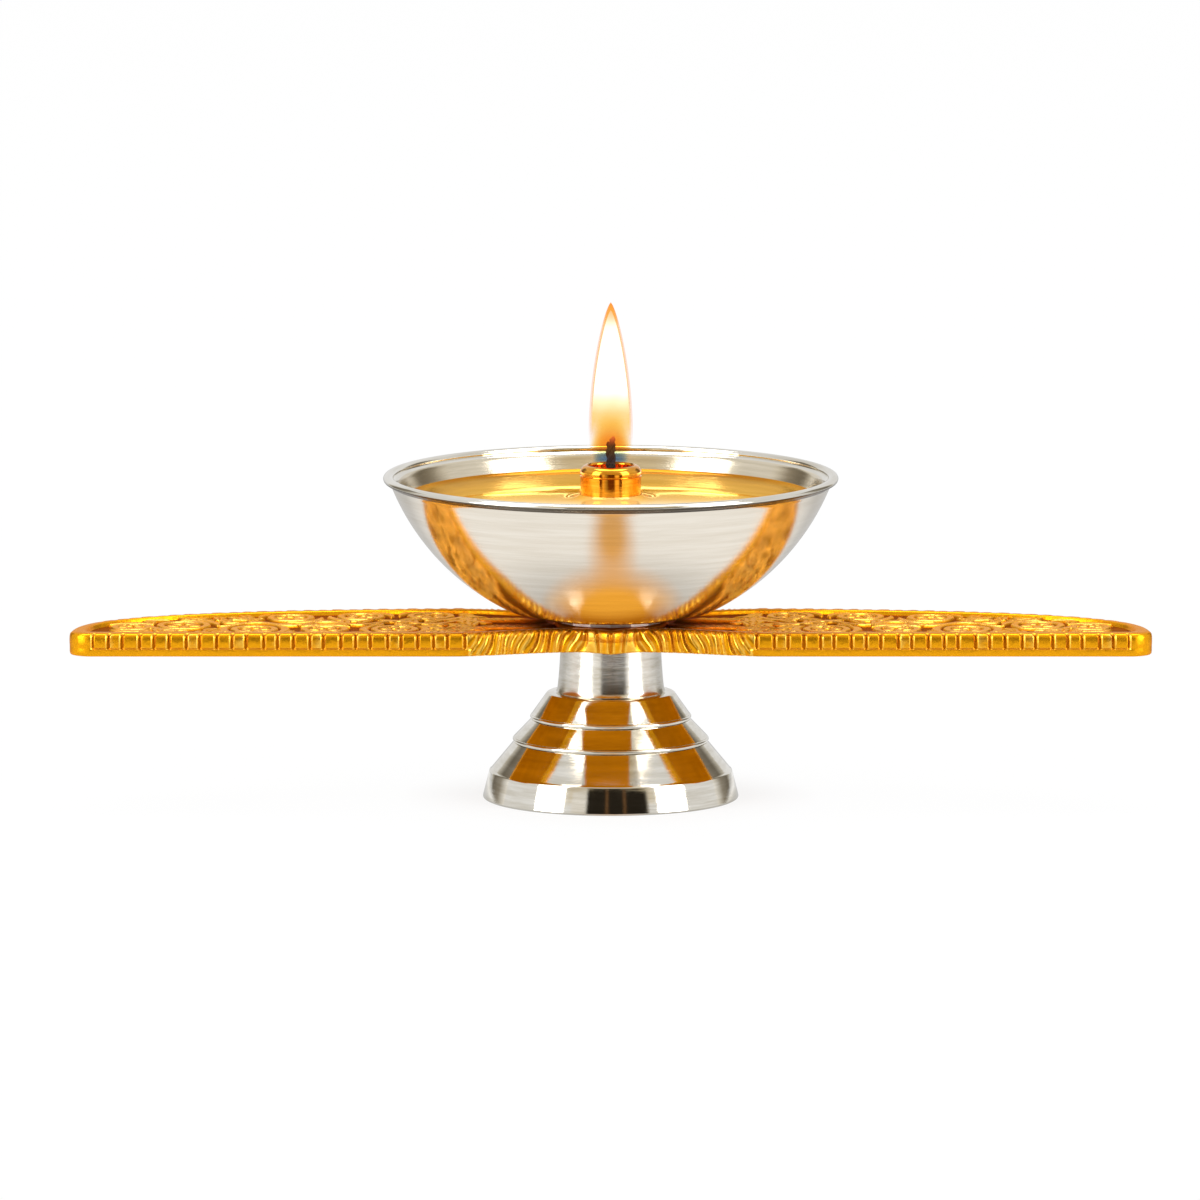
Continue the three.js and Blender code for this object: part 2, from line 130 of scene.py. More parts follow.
# Bowl, oil and flame
BOWL_RADIUS = 22.3
BOWL_BASE_RADIUS = 8.5
BOWL_WALL = 0.8
LIP_WIDTH = 1.0
LIP_HEIGHT = 0.7
LIP_OVERHANG = 0.5
OIL_LEVEL = 28.35
FLAME_RADIUS = 2.08
FLAME_BULGE = 0.2
FLAME_TAPER = 1.7
FLAME_FULLNESS = 0.75
FLAME_FOOT_RADIUS = 1.85
DOME_RADIUS = 2.0
ROOT_RADII = (1.85, 1.0)

# Fineness
TURN = 160
BEAD_STEPS = 20


def new_mesh(name, vertices, faces, body, materials, indices=None, crease=35):
    """A smooth-shaded object from millimetre vertices, riding on a body, creased past an angle."""
    mesh = bpy.data.meshes.new(name)
    mesh.from_pydata((np.asarray(vertices, float) * MM).tolist(), [], faces)
    for material in materials:
        mesh.materials.append(material)
    if indices is not None:
        mesh.polygons.foreach_set("material_index", indices)
    mesh.polygons.foreach_set("use_smooth", [True] * len(mesh.polygons))
    mesh.set_sharp_from_angle(angle=math.radians(crease))
    mesh.validate()
    piece = bpy.data.objects.new(name, mesh)
    bpy.context.scene.collection.objects.link(piece)
    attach(piece, body)
    return piece


def arc(centre, size, start, stop, steps):
    """Points of an ellipse arc about (radius, height), angles in degrees."""
    angles = np.radians(np.linspace(start, stop, steps + 1))
    return [(centre[0] + size[0] * math.cos(a), centre[1] + size[1] * math.sin(a)) for a in angles]


def filleted(points, radius, steps=4):
    """The same line with each inner corner rounded."""
    line = [points[0]]
    for before, corner, after in zip(points, points[1:], points[2:]):
        before, corner, after = (np.array(p, float) for p in (before, corner, after))
        back, ahead = before - corner, after - corner
        reach = min(radius, 0.45 * np.linalg.norm(back), 0.45 * np.linalg.norm(ahead))
        first = corner + back / np.linalg.norm(back) * reach
        last = corner + ahead / np.linalg.norm(ahead) * reach
        for t in np.linspace(0, 1, steps + 1):
            line.append(tuple((1 - t) ** 2 * first + 2 * t * (1 - t) * corner + t ** 2 * last))
    return [*line, points[-1]]


def strip_faces(rows, length):
    """Quads between closed rings of one length, one ring after the other."""
    faces = []
    for i in range(rows - 1):
        for j in range(length):
            k = (j + 1) % length
            faces.append((i * length + j, (i + 1) * length + j, (i + 1) * length + k, i * length + k))
    return faces


def turned(name, profile, body, materials, bands=None, closed=False, segments=TURN, crease=35):
    """A surface of revolution about Z. bands maps a profile step to a material index."""
    ring = np.linspace(0, 2 * math.pi, segments, endpoint=False)
    rows = [np.stack([r * np.cos(ring), r * np.sin(ring), np.full(segments, z)], 1) for r, z in profile]
    vertices = np.concatenate(rows)
    faces, indices = [], []
    count = len(profile)
    for i in range(count if closed else count - 1):
        a, b = i * segments, (i + 1) % count * segments
        for j in range(segments):
            k = (j + 1) % segments
            faces.append((a + j, a + k, b + k, b + j))
            indices.append(bands(profile[i], profile[(i + 1) % count]) if bands else 0)
    return new_mesh(name, vertices, faces, body, materials, indices, crease)


class Nodes:
    """Shorthand for building the nodes of a new material, or of the world where that is given."""

    def __init__(self, name, world=None):
        self.material = world or bpy.data.materials.new(name)
        self.material.use_nodes = True
        self.tree = self.material.node_tree
        self.tree.nodes.clear()
        self.output = self.add("ShaderNodeOutputWorld" if world else "ShaderNodeOutputMaterial")

    def add(self, kind, **values):
        node = self.tree.nodes.new(kind)
        for key, value in values.items():
            setattr(node, key, value)
        return node

    def link(self, source, target):
        self.tree.links.new(source, target)

    def math(self, operation, a, b=0.0):
        node = self.add("ShaderNodeMath", operation=operation)
        for socket, value in zip(node.inputs, (a, b)):
            if isinstance(value, (int, float)):
                socket.default_value = value
            else:
                self.link(value, socket)
        return node.outputs[0]

    def ramp(self, factor, stops):
        node = self.add("ShaderNodeValToRGB")
        elements = node.color_ramp.elements
        while len(elements) < len(stops):
            elements.new(0.5)
        for element, (place, colour) in zip(elements, stops):
            element.position = place
            element.color = (*colour, 1)
        self.link(factor, node.inputs[0])
        return node.outputs[0]

    def scaled(self, value, low, high, new_low=0.0, new_high=1.0):
        node = self.add("ShaderNodeMapRange")
        self.link(value, node.inputs["Value"])
        for key, number in zip(("From Min", "From Max", "To Min", "To Max"), (low, high, new_low, new_high)):
            node.inputs[key].default_value = number
        return node.outputs[0]

    def eased(self, value, low, high):
        """0 at low to 1 at high without a corner at either end. low may be the greater."""
        node = self.add("ShaderNodeMapRange", interpolation_type="SMOOTHSTEP")
        self.link(value, node.inputs["Value"])
        flip = low > high
        for key, number in zip(("From Min", "From Max", "To Min", "To Max"),
                               (min(low, high), max(low, high), float(flip), float(not flip))):
            node.inputs[key].default_value = number
        return node.outputs[0]

    def noise(self, vector, scale, detail=3.0, roughness=0.5):
        node = self.add("ShaderNodeTexNoise")
        if vector is not None:
            self.link(vector, node.inputs["Vector"])
        node.inputs["Scale"].default_value = scale
        node.inputs["Detail"].default_value = detail
        node.inputs["Roughness"].default_value = roughness
        return node.outputs["Fac"]

    def position(self):
        return self.add("ShaderNodeTexCoord").outputs["Object"]

    def parts(self, vector):
        node = self.add("ShaderNodeSeparateXYZ")
        self.link(vector, node.inputs[0])
        return node.outputs

    def joined(self, x, y, z):
        node = self.add("ShaderNodeCombineXYZ")
        for socket, value in zip(node.inputs, (x, y, z)):
            self.link(value, socket)
        return node.outputs[0]

    def squared_reach(self, x, y):
        """Square of the distance from the Z axis."""
        return self.math("ADD", self.math("MULTIPLY", x, x), self.math("MULTIPLY", y, y))

    def reach(self, x, y):
        return self.math("SQRT", self.squared_reach(x, y))

    def mixed(self, share, first, second):
        """The first shader where share is 0, the second where it is 1."""
        mix = self.add("ShaderNodeMixShader")
        for socket, source in zip(mix.inputs, (share, first.outputs[0], second.outputs[0])):
            self.link(source, socket)
        return mix

    def bump(self, height, strength, distance):
        node = self.add("ShaderNodeBump")
        node.inputs["Strength"].default_value = strength
        node.inputs["Distance"].default_value = distance
        self.link(height, node.inputs["Height"])
        return node.outputs[0]

    def principled(self, **values):
        node = self.add("ShaderNodeBsdfPrincipled")
        for key, value in values.items():
            node.inputs[key.replace("_", " ")].default_value = value
        self.link(node.outputs[0], self.output.inputs[0])
        return node


def spun_lines(m, across, along):
    """Noise drawn out round the Z axis, as a lathe tool or polishing wheel leaves it."""
    x, y, z = m.parts(m.position())
    reach = m.math("MAXIMUM", m.reach(x, y), 1e-5)
    turn_x = m.math("MULTIPLY", m.math("DIVIDE", x, reach), along)
    turn_y = m.math("MULTIPLY", m.math("DIVIDE", y, reach), along)
    rise = m.math("MULTIPLY", m.math("ADD", z, m.math("MULTIPLY", reach, 0.37)), across)
    return m.noise(m.joined(turn_x, turn_y, rise), 1.0, 4.0, 0.65)


def spun_silver(name, tones, roughness, line_strength, anisotropy):
    """Nickel-plated, lathe-spun metal with fine circular lines and a few duller patches."""
    m = Nodes(name)
    shader = m.principled(Metallic=1.0, Anisotropic=anisotropy, Anisotropic_Rotation=0.25)
    fine = spun_lines(m, 14000, 5.0)
    broad = spun_lines(m, 1800, 1.5)
    m.link(m.ramp(broad, [(0.3, tones[0]), (0.65, tones[1])]), shader.inputs["Base Color"])
    m.link(m.scaled(fine, 0.3, 0.7, roughness * 0.7, roughness * 1.3), shader.inputs["Roughness"])
    m.link(m.bump(m.math("ADD", fine, broad), line_strength, 0.00002), shader.inputs["Normal"])
    tangent = m.add("ShaderNodeTangent", direction_type="RADIAL", axis="Z")
    m.link(tangent.outputs[0], shader.inputs["Tangent"])
    return m.material


def gilt_casting():
    """Gilt casting, slightly grainy, with painted light: light gold painted on what stands proud, deep brown painted
    in the recesses as shade with some patina, and painted shade on the pad under the bowl.
    """
    m = Nodes("gilt_casting")
    shader = m.principled(Metallic=0.9)
    position = m.position()
    height = m.scaled(m.parts(position)[2], (PLATE_TOP - FIELD_RECESS) * MM, (PLATE_TOP - 0.14) * MM)
    x, y, _ = m.parts(position)
    # Painted shade on the pad under the bowl, fading out between the PAD_SHADE radii
    start, end = ((radius * MM) ** 2 for radius in PAD_SHADE)
    painted_pad_shade = m.scaled(m.squared_reach(x, y), start, end, 0.15, 1.0)
    cloud = m.scaled(m.noise(position, 500, 4.0), 0.3, 0.7, -0.12, 0.12)
    tone = m.math("MULTIPLY", m.math("ADD", height, cloud), painted_pad_shade)
    # Painted light by height: pale on the raised tops, deep brown in the recesses as shade with some patina
    face_on = [(0.0, (0.32, 0.115, 0.004)), (0.3, (0.56, 0.18, 0.002)), (0.7, (0.92, 0.40, 0.03)),
               (1.0, (0.97, 0.50, 0.10))]
    skimming = [(0.0, (0.52, 0.20, 0.006)), (0.3, (0.78, 0.33, 0.012)), (0.7, (0.96, 0.52, 0.10)),
                (1.0, (1.0, 0.62, 0.20))]
    m.link(m.ramp(tone, face_on), shader.inputs["Base Color"])
    m.link(m.ramp(tone, skimming), shader.inputs["Specular Tint"])
    m.link(m.scaled(tone, 0.0, 1.0, 0.45, 0.22), shader.inputs["Roughness"])
    grain = m.math("ADD", m.noise(position, 4200, 3.0), m.noise(position, 1100, 2.0))
    m.link(m.bump(grain, 0.4, 0.00006), shader.inputs["Normal"])
    return m.material


def gilt_edge():
    """The same gilding round the edge, with painted light: a pale painted highlight along the pillows' borders and
    brown painted shade down in the notches.
    """
    m = Nodes("gilt_edge")
    shader = m.principled(Metallic=0.72)
    position = m.position()
    hollow = m.add("ShaderNodeAttribute", attribute_name="hollow").outputs["Fac"]
    cloud = m.scaled(m.noise(position, 900, 4.0, 0.6), 0.3, 0.7, -0.06, 0.06)
    depth = m.math("ADD", hollow, cloud)
    # Painted highlight and shade by depth: mid gold on the pillows' faces, pale along their borders, brown down in
    # the notches
    tones = [(0.0, (0.80, 0.34, 0.005)), (0.12, (0.80, 0.33, 0.005)), (0.3, (0.95, 0.60, 0.10)),
             (0.5, (0.86, 0.42, 0.02)), (0.85, (0.42, 0.11, 0.001))]
    m.link(m.ramp(depth, tones), shader.inputs["Base Color"])
    m.link(m.ramp(depth, [(0.0, (0.90, 0.46, 0.05)), (0.8, (0.7, 0.25, 0.02))]), shader.inputs["Specular Tint"])
    m.link(m.scaled(m.noise(position, 420, 4.0, 0.6), 0.3, 0.7, 0.16, 0.3), shader.inputs["Roughness"])
    m.link(m.bump(m.noise(position, 1600, 4.0), 0.5, 0.00008), shader.inputs["Normal"])
    return m.material


def shaded_raw_casting():
    """The plate's underside, gilt and left as cast, so duller than what is seen from above, and painted darker and
    browner as the shade it lies in.
    """
    m = Nodes("shaded_raw_casting")
    shader = m.principled(Metallic=1.0, Specular_Tint=(0.8, 0.45, 0.1, 1))
    position = m.position()
    cloud = m.noise(position, 300, 5.0, 0.6)
    # Painted shade: the underside's gold is kept dark brown
    m.link(m.ramp(cloud, [(0.3, (0.42, 0.13, 0.001)), (0.7, (0.60, 0.20, 0.003))]), shader.inputs["Base Color"])
    m.link(m.scaled(cloud, 0.3, 0.7, 0.35, 0.5), shader.inputs["Roughness"])
    m.link(m.bump(m.noise(position, 2400, 5.0), 0.6, 0.0001), shader.inputs["Normal"])
    return m.material


def polished_brass():
    """Turned and buffed brass of the wick holder."""
    m = Nodes("polished_brass")
    shader = m.principled(Metallic=1.0)
    lines = spun_lines(m, 7000, 1.0)
    m.link(m.ramp(lines, [(0.3, (0.72, 0.27, 0.012)), (0.7, (0.95, 0.44, 0.05))]), shader.inputs["Base Color"])
    m.link(m.scaled(lines, 0.3, 0.7, 0.06, 0.13), shader.inputs["Roughness"])
    m.link(m.bump(lines, 0.25, 0.00002), shader.inputs["Normal"])
    return m.material


def plain_steel():
    """Zinc-plated fixings under the foot."""
    m = Nodes("plain_steel")
    shader = m.principled(Metallic=1.0)
    cloud = m.noise(m.position(), 900, 5.0, 0.6)
    m.link(m.ramp(cloud, [(0.3, (0.45, 0.45, 0.44)), (0.7, (0.68, 0.68, 0.66))]), shader.inputs["Base Color"])
    m.link(m.scaled(cloud, 0.3, 0.7, 0.3, 0.5), shader.inputs["Roughness"])
    m.link(m.bump(cloud, 0.3, 0.00004), shader.inputs["Normal"])
    return m.material


def lamp_oil():
    """Golden oil with painted reflections: gold and more metallic towards the back, where the bowl behind is
    mirrored, with a brighter band and a darker ring at the wall, and painted paler towards the front as the sky
    mirrored in it.
    """
    m = Nodes("lamp_oil")
    shader = m.principled(Roughness=0.04, IOR=1.4, Specular_Tint=(1.0, 0.74, 0.10, 1))
    position = m.position()
    x, y, _ = m.parts(position)
    swirl = m.scaled(m.noise(position, 160, 2.0), 0.3, 0.7, -0.05, 0.05)
    depth = m.math("ADD", m.scaled(m.reach(x, y), 3 * MM, 19.3 * MM), swirl)
    # Painted reflection: a brighter band across the middle and a darker ring at the wall
    golds = [(0.0, (0.88, 0.43, 0.003)), (0.45, (0.96, 0.55, 0.006)), (0.8, (0.88, 0.43, 0.003)),
             (1.0, (0.50, 0.19, 0.002))]
    # Painted reflection of the sky: paler towards the front
    pale = m.add("ShaderNodeMix", data_type="RGBA")
    m.link(m.scaled(m.math("ADD", y, m.math("MULTIPLY", swirl, 0.02)), -0.5 * MM, -6.5 * MM), pale.inputs["Factor"])
    m.link(m.ramp(depth, golds), pale.inputs[6])
    pale.inputs[7].default_value = (0.93, 0.76, 0.46, 1)
    m.link(pale.outputs[2], shader.inputs["Base Color"])
    m.link(m.scaled(y, -5 * MM, 1 * MM, 0.1, 0.7), shader.inputs["Metallic"])
    m.link(m.bump(m.noise(position, 240, 1.0), 0.08, 0.0002), shader.inputs["Normal"])
    return m.material


def charred_cotton():
    """Black char with a glowing tip."""
    m = Nodes("charred_cotton")
    shader = m.principled(Roughness=0.95)
    position = m.position()
    fibres = m.noise(position, 6000, 4.0, 0.7)
    m.link(m.ramp(fibres, [(0.35, (0.006, 0.004, 0.003)), (0.7, (0.05, 0.035, 0.03))]), shader.inputs["Base Color"])
    rise = m.scaled(m.parts(position)[2], (WICK_TOP - 0.9) * MM, WICK_TOP * MM)
    glow = m.ramp(rise, [(0.0, (0, 0, 0)), (0.45, (0.25, 0.012, 0.0)), (1.0, (0.9, 0.12, 0.02))])
    m.link(glow, shader.inputs["Emission Color"])
    shader.inputs["Emission Strength"].default_value = 0.8
    m.link(m.bump(fibres, 0.8, 0.0001), shader.inputs["Normal"])
    return m.material


def flame_tints(m, share):
    """What the flame's inside takes from the light behind it: an amber dome over the wick, blue round its root."""
    x, y, _ = m.parts(m.position())
    reach = m.squared_reach(x, y)
    dome = m.math("ADD", m.scaled(reach, 0, (DOME_RADIUS * MM) ** 2), m.scaled(share, 0.06, 0.34))
    amber = m.math("MULTIPLY", m.eased(dome, 1.3, 0.35), m.eased(share, 0.02, 0.12))
    start, end = ((radius * MM) ** 2 for radius in ROOT_RADII)
    root = m.math("MULTIPLY", m.eased(reach, start, end), m.eased(share, 0.1, 0.02))
    tints = m.add("ShaderNodeAddShader")
    fields = (amber, 1500, (0.98, 0.7, 0.0)), (root, 850, (0.0, 0.5, 0.95))
    for i, (field, strength, colour) in enumerate(fields):
        tint = m.add("ShaderNodeVolumeAbsorption")
        tint.inputs["Color"].default_value = (*colour, 1)
        m.link(m.math("MULTIPLY", field, strength), tint.inputs["Density"])
        m.link(tint.outputs[0], tints.inputs[i])
    m.link(tints.outputs[0], m.output.inputs["Volume"])


def flame_layer(name, colours, cover, strength):
    """One glowing layer. colours and cover run from the flame's base to its tip. The skin also tints its inside."""
    m = Nodes(name)
    position = m.position()
    flow = m.scaled(m.noise(position, 260, 2.0), 0.3, 0.7, -0.02, 0.02)
    rise = m.scaled(m.parts(position)[2], FLAME_BASE * MM, FLAME_TOP * MM)
    share = m.math("ADD", rise, flow)
    light = m.add("ShaderNodeEmission")
    light.inputs["Strength"].default_value = strength
    m.link(m.ramp(share, colours), light.inputs["Color"])
    clear = m.add("ShaderNodeBsdfTransparent")
    mix = m.mixed(m.ramp(share, [(place, (value,) * 3) for place, value in cover]), clear, light)
    m.link(mix.outputs[0], m.output.inputs[0])
    if name == "flame_skin":
        flame_tints(m, rise)
    return m.material


def make_foot(materials):
    """Stepped cone on a flared band, with a bead moulding under each step."""
    bead = [arc((r - RING_SINK, z), RING_BEAD, -80, 80, 10) for r, z in (LOWER_RING, UPPER_RING)]
    band = filleted([
        (FOOT_RADIUS - FOOT_WALL, 0), (FOOT_RADIUS, 0), (BAND_TOP_RADIUS, BAND_RISE),
        (BAND_TOP_RADIUS - 0.15, BAND_RISE + 0.12), (LOWER_RING[0], LOWER_RING[1] - RING_GAP)], 0.22)
    middle = [(LOWER_RING[0] - 0.05, LOWER_RING[1] + RING_GAP), (UPPER_RING[0], UPPER_RING[1] - RING_GAP)]
    top = filleted([
        (UPPER_RING[0] - 0.05, UPPER_RING[1] + RING_GAP), (SHOULDER_RADIUS, FOOT_TOP), (STUD_HOLE, FOOT_TOP),
        (STUD_HOLE, FOOT_TOP - FOOT_WALL), (SHOULDER_RADIUS - FOOT_WALL, FOOT_TOP - FOOT_WALL),
        (LOWER_RING[0] - FOOT_WALL, LOWER_RING[1] - 0.6), (BAND_TOP_RADIUS - FOOT_WALL, BAND_RISE - 0.6),
        (FOOT_RADIUS - FOOT_WALL, 0.05)], 0.15)
    profile = [*band, *bead[0], *middle, *bead[1], *top]

    def finish(a, b):
        return 0 if max(a[1], b[1]) <= BAND_RISE + 0.05 else 1

    piece = turned("foot_turned", profile, "stand", materials, finish, closed=True)
    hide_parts("foot")


def make_collar(material):
    flare = [(COLLAR_FOOT_RADIUS - (COLLAR_FOOT_RADIUS - COLLAR_TOP_RADIUS) * math.sqrt(t),
              FOOT_TOP + 0.12 + (PLATE_BOTTOM - FOOT_TOP - 0.12) * t) for t in np.linspace(0, 1, 24)]
    profile = [(STUD_HOLE, FOOT_TOP), (COLLAR_FOOT_RADIUS - 0.12, FOOT_TOP), *flare, (STUD_HOLE, PLATE_BOTTOM)]
    piece = turned("collar_turned", profile, "stand", [material], closed=True)
    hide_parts("collar")


def bowl_centre():
    return BOWL_BASE + math.sqrt(BOWL_RADIUS ** 2 - BOWL_BASE_RADIUS ** 2)


def inner_radius(z):
    return math.sqrt((BOWL_RADIUS - BOWL_WALL) ** 2 - (bowl_centre() - z) ** 2)


def make_bowl(materials):
    """Spun shell. The materials are for its outside, its inside with painted shade, its polished lip and the lip's
    duller underside, painted near black as the shade beneath the lip.
    """
    centre = bowl_centre()
    lip_middle = BOWL_TOP - LIP_HEIGHT / 2
    rim = math.sqrt(BOWL_RADIUS ** 2 - (centre - lip_middle) ** 2)

    def sphere(size, low, high, steps):
        start = math.degrees(math.asin((low - centre) / size))
        stop = math.degrees(math.asin((high - centre) / size))
        return arc((0, centre), (size, size), start, stop, steps)

    base = filleted([(0.01, BOWL_BASE), (BOWL_BASE_RADIUS - 1.0, BOWL_BASE),
                     (BOWL_BASE_RADIUS + 0.6, BOWL_BASE + 0.4)], 1.2, 8)[:-1]
    lip = arc((rim + LIP_OVERHANG - LIP_WIDTH / 2, lip_middle), (LIP_WIDTH / 2, LIP_HEIGHT / 2), -70, 200, 26)
    shell = [*base, *sphere(BOWL_RADIUS, BOWL_BASE + 0.55, lip_middle - 0.55, 48), *lip,
             *sphere(BOWL_RADIUS - BOWL_WALL, lip_middle - 0.3, HOLDER_SEAT, 48), (0.01, HOLDER_SEAT)]

    def side(a, b):
        past_shell = shell.index(a) - len(base) - 48
        return 0 if past_shell < 0 else 3 if past_shell < 7 else 2 if past_shell < 28 else 1

    piece = turned("bowl_spun", shell, "stand", materials, side, segments=192, crease=50)
    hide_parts("bowl")


def make_oil(material):
    """The oil's top, drawn up a little where it meets the bowl and the wick holder."""
    wall = inner_radius(OIL_LEVEL + 0.25) - 0.01
    profile = [(0.01, OIL_LEVEL - 0.2), (CAP_RADIUS - 0.1, OIL_LEVEL - 0.2)]
    profile += [(CAP_RADIUS + 0.02 + d, OIL_LEVEL + 0.5 * math.exp(-d / 0.5)) for d in np.linspace(0, 2.5, 18)]
    profile += [(r, OIL_LEVEL) for r in np.linspace(CAP_RADIUS + 3.3, wall - 1.6, 6)]
    profile += [(wall - d, OIL_LEVEL + 0.25 * math.exp(-d / 0.35)) for d in np.linspace(1.4, 0, 10)]
    profile += [(inner_radius(OIL_LEVEL - 0.8) - 0.01, OIL_LEVEL - 0.8), (0.01, OIL_LEVEL - 0.8)]
    turned("oil", profile, "stand", [material], crease=60)


def waist(x):
    reach = np.abs(x)
    fall = 1 - np.sin(math.pi / 2 * np.clip(reach / CUSP_HALF_WIDTH, 0, 1))
    cusp = WAIST_DEPTH - (WAIST_DEPTH - CUSP_DEPTH) * fall
    share = np.clip((reach - CUSP_HALF_WIDTH) / (WAIST_REACH - CUSP_HALF_WIDTH), 0, 1)
    return np.where(reach < CUSP_HALF_WIDTH, cusp, WAIST_DEPTH * (1 + np.cos(math.pi * share)) / 2)


def front_edge(x, inset):
    """The front of the plate at x: straight, with a rounded corner at the tip and the waist."""
    tip = PLATE_LENGTH / 2 - inset
    corner = np.maximum(0.4, TIP_RADIUS - inset / 2)
    over = np.clip(np.abs(x) - (tip - corner), 0, corner)
    return -PLATE_DEPTH / 2 + inset + waist(x) + corner - np.sqrt(corner ** 2 - over ** 2)


def back_edge(x, inset):
    share = np.clip(np.abs(x) / (PLATE_LENGTH / 2 - inset), 0, 1)
    rise = (PLATE_DEPTH - 2 * inset) * (1 - share ** BACK_ROUNDNESS) ** (1 / BACK_ROUNDNESS)
    return -PLATE_DEPTH / 2 + inset + rise - waist(x)


def outline(t, inset):
    """Right half of the plate's outline at an inset: t runs 0 to 1 along the front and 1 to 2 along the back."""
    tip = PLATE_LENGTH / 2 - inset
    corner = np.maximum(0.4, TIP_RADIUS - inset / 2)
    straight = 0.94
    angle = math.pi / 2 * np.clip((t - straight) / (1 - straight), 0, 1)
    front_x = np.where(t < straight, (tip - corner) * t / straight, tip - corner + corner * np.sin(angle))
    corner_y = -PLATE_DEPTH / 2 + inset + corner * (1 - np.cos(angle))
    front_y = np.where(t < straight, front_edge(front_x, inset), corner_y)
    turn = math.pi / 2 * np.clip(t - 1, 0, 1)
    back_x = tip * np.cos(turn) ** (2 / BACK_ROUNDNESS)
    back_y = np.maximum(back_edge(back_x, inset), -PLATE_DEPTH / 2 + inset + corner)
    return np.where(t < 1, front_x, back_x), np.where(t < 1, front_y, back_y)


def bead_stations():
    """Outline parameters at even steps along the edge, BEAD_STEPS to a bead, and how many beads there are."""
    t = np.linspace(0, 2, 20001)
    x, y = outline(t, 0.0)
    run = np.concatenate([[0], np.cumsum(np.hypot(np.diff(x), np.diff(y)))])
    beads = round(run[-1] / BEAD_PITCH)
    return np.interp(np.linspace(0, run[-1], beads * BEAD_STEPS + 1), run, t), beads


def smooth(value):
    value = np.clip(value, 0, 1)
    return value * value * (3 - 2 * value)


def pillows(place, beads, notch, slope, crown):
    """Inward depth of a row of pillows at places counted in beads: narrow notches, steep sides and a domed face."""
    ends = np.arange(beads + 1) + BEAD_VARIETY * np.sin(UNEVEN_RATE * np.arange(beads + 1))
    ends[-1] = beads
    place = np.clip(np.abs(place), 0, beads - 1e-6)
    i = np.clip(np.searchsorted(ends, place, side="right") - 1, 0, beads - 1)
    u = (place - ends[i]) / (ends[i + 1] - ends[i])
    near = np.minimum(u, 1 - u)
    face = crown * (2 * u - 1) ** 2 + 0.16 * np.sin(5.1 * i + 1) * (u - 0.5) + 0.14 * np.sin(UNEVEN_RATE * i)
    return 1 - smooth((near - notch) / slope) * (1 - face)


def bead_depth(place, beads, back):
    """How deep the edge lies at places among the beads, which are rounder at the back than in front."""
    return np.where(back, pillows(place, beads, 0.03, 0.3, 0.4), pillows(place, beads, 0.045, 0.14, 0.12))


def flute_depth(place, lean, beads, x):
    """How deep it lies among the flutes: one to a bead near the waist's cusp, and finer ones further out."""
    fine = smooth((x - 2.2) / 1.2)
    ripple = 0.5 * np.abs(np.sin(math.pi * (2.3 * lean + 0.4 * np.sin(place)))) ** 0.6 * smooth((x - 2.5) / 2)
    flute = 1.2 * (1 - 0.6 * fine) * pillows(lean, beads, 0.01, 0.2, 0.45)
    return flute + 0.9 * fine * pillows(2 * lean, 2 * beads, 0.02, 0.3, 0.35) + 0.5 * (0.5 - ripple)


def edge_section():
    """The rim's section from the field over the edge to the underside. Each row has its inset and height where there
    are beads, the same where there are flutes, and its share in the swelling of beads and of flutes."""
    top, bottom, low = PLATE_TOP, PLATE_BOTTOM, PLATE_BOTTOM + BEAD_FOOT
    inner = [(RIM_WIDTH + 0.15, top - FIELD_RECESS - 0.05), (RIM_WIDTH + 0.02, top - FIELD_RECESS + 0.05),
             (RIM_WIDTH - 0.05, top - 0.14), (RIM_WIDTH - 0.16, top - 0.03), (RIM_WIDTH - 0.32, top), (0.95, top)]
    beads = [(0.66, top), (0.44, top - 0.01), (0.27, top - 0.05), (0.14, top - 0.12), (0.06, top - 0.24),
             (0.02, top - 0.42), (0.0, top - 0.7), (0.0, low + 0.5), (0.01, low + 0.3), (0.02, low + 0.16),
             (0.02, low + 0.07), (0.02, low), (0.02, low - 0.05), (0.02, low - 0.14), (0.02, low - 0.36),
             (0.05, bottom + 0.12), (0.14, bottom + 0.03), (0.26, bottom)]
    face = [(0.04 + 0.08 * abs(2 * f - 1) ** 3, top - 0.18 - (top - bottom - 0.4) * f) for f in np.linspace(0, 1, 11)]
    flutes = [(0.66, top), (0.4, top - 0.01), (0.2, top - 0.06), *face, (0.12, bottom + 0.14), (0.18, bottom + 0.06),
              (0.27, bottom + 0.01), (0.36, bottom)]
    bead_shares = [0.15, 0.6, 0.9, 1, 1, 1, 1, 1, 1, 1, 1, 0.7, 0, 0, 0, 0, 0, 0]
    flute_shares = [0.3, 0.8, 1, *[1] * 11, 1, 0.9, 0.7, 0.4]
    still = [(*row, *row, 0, 0) for row in inner]
    moving = [(*a, *b, c, d) for a, b, c, d in zip(beads, flutes, bead_shares, flute_shares)]
    return [*still, *moving, (RIM_WIDTH, bottom, RIM_WIDTH, bottom, 0, 0)]


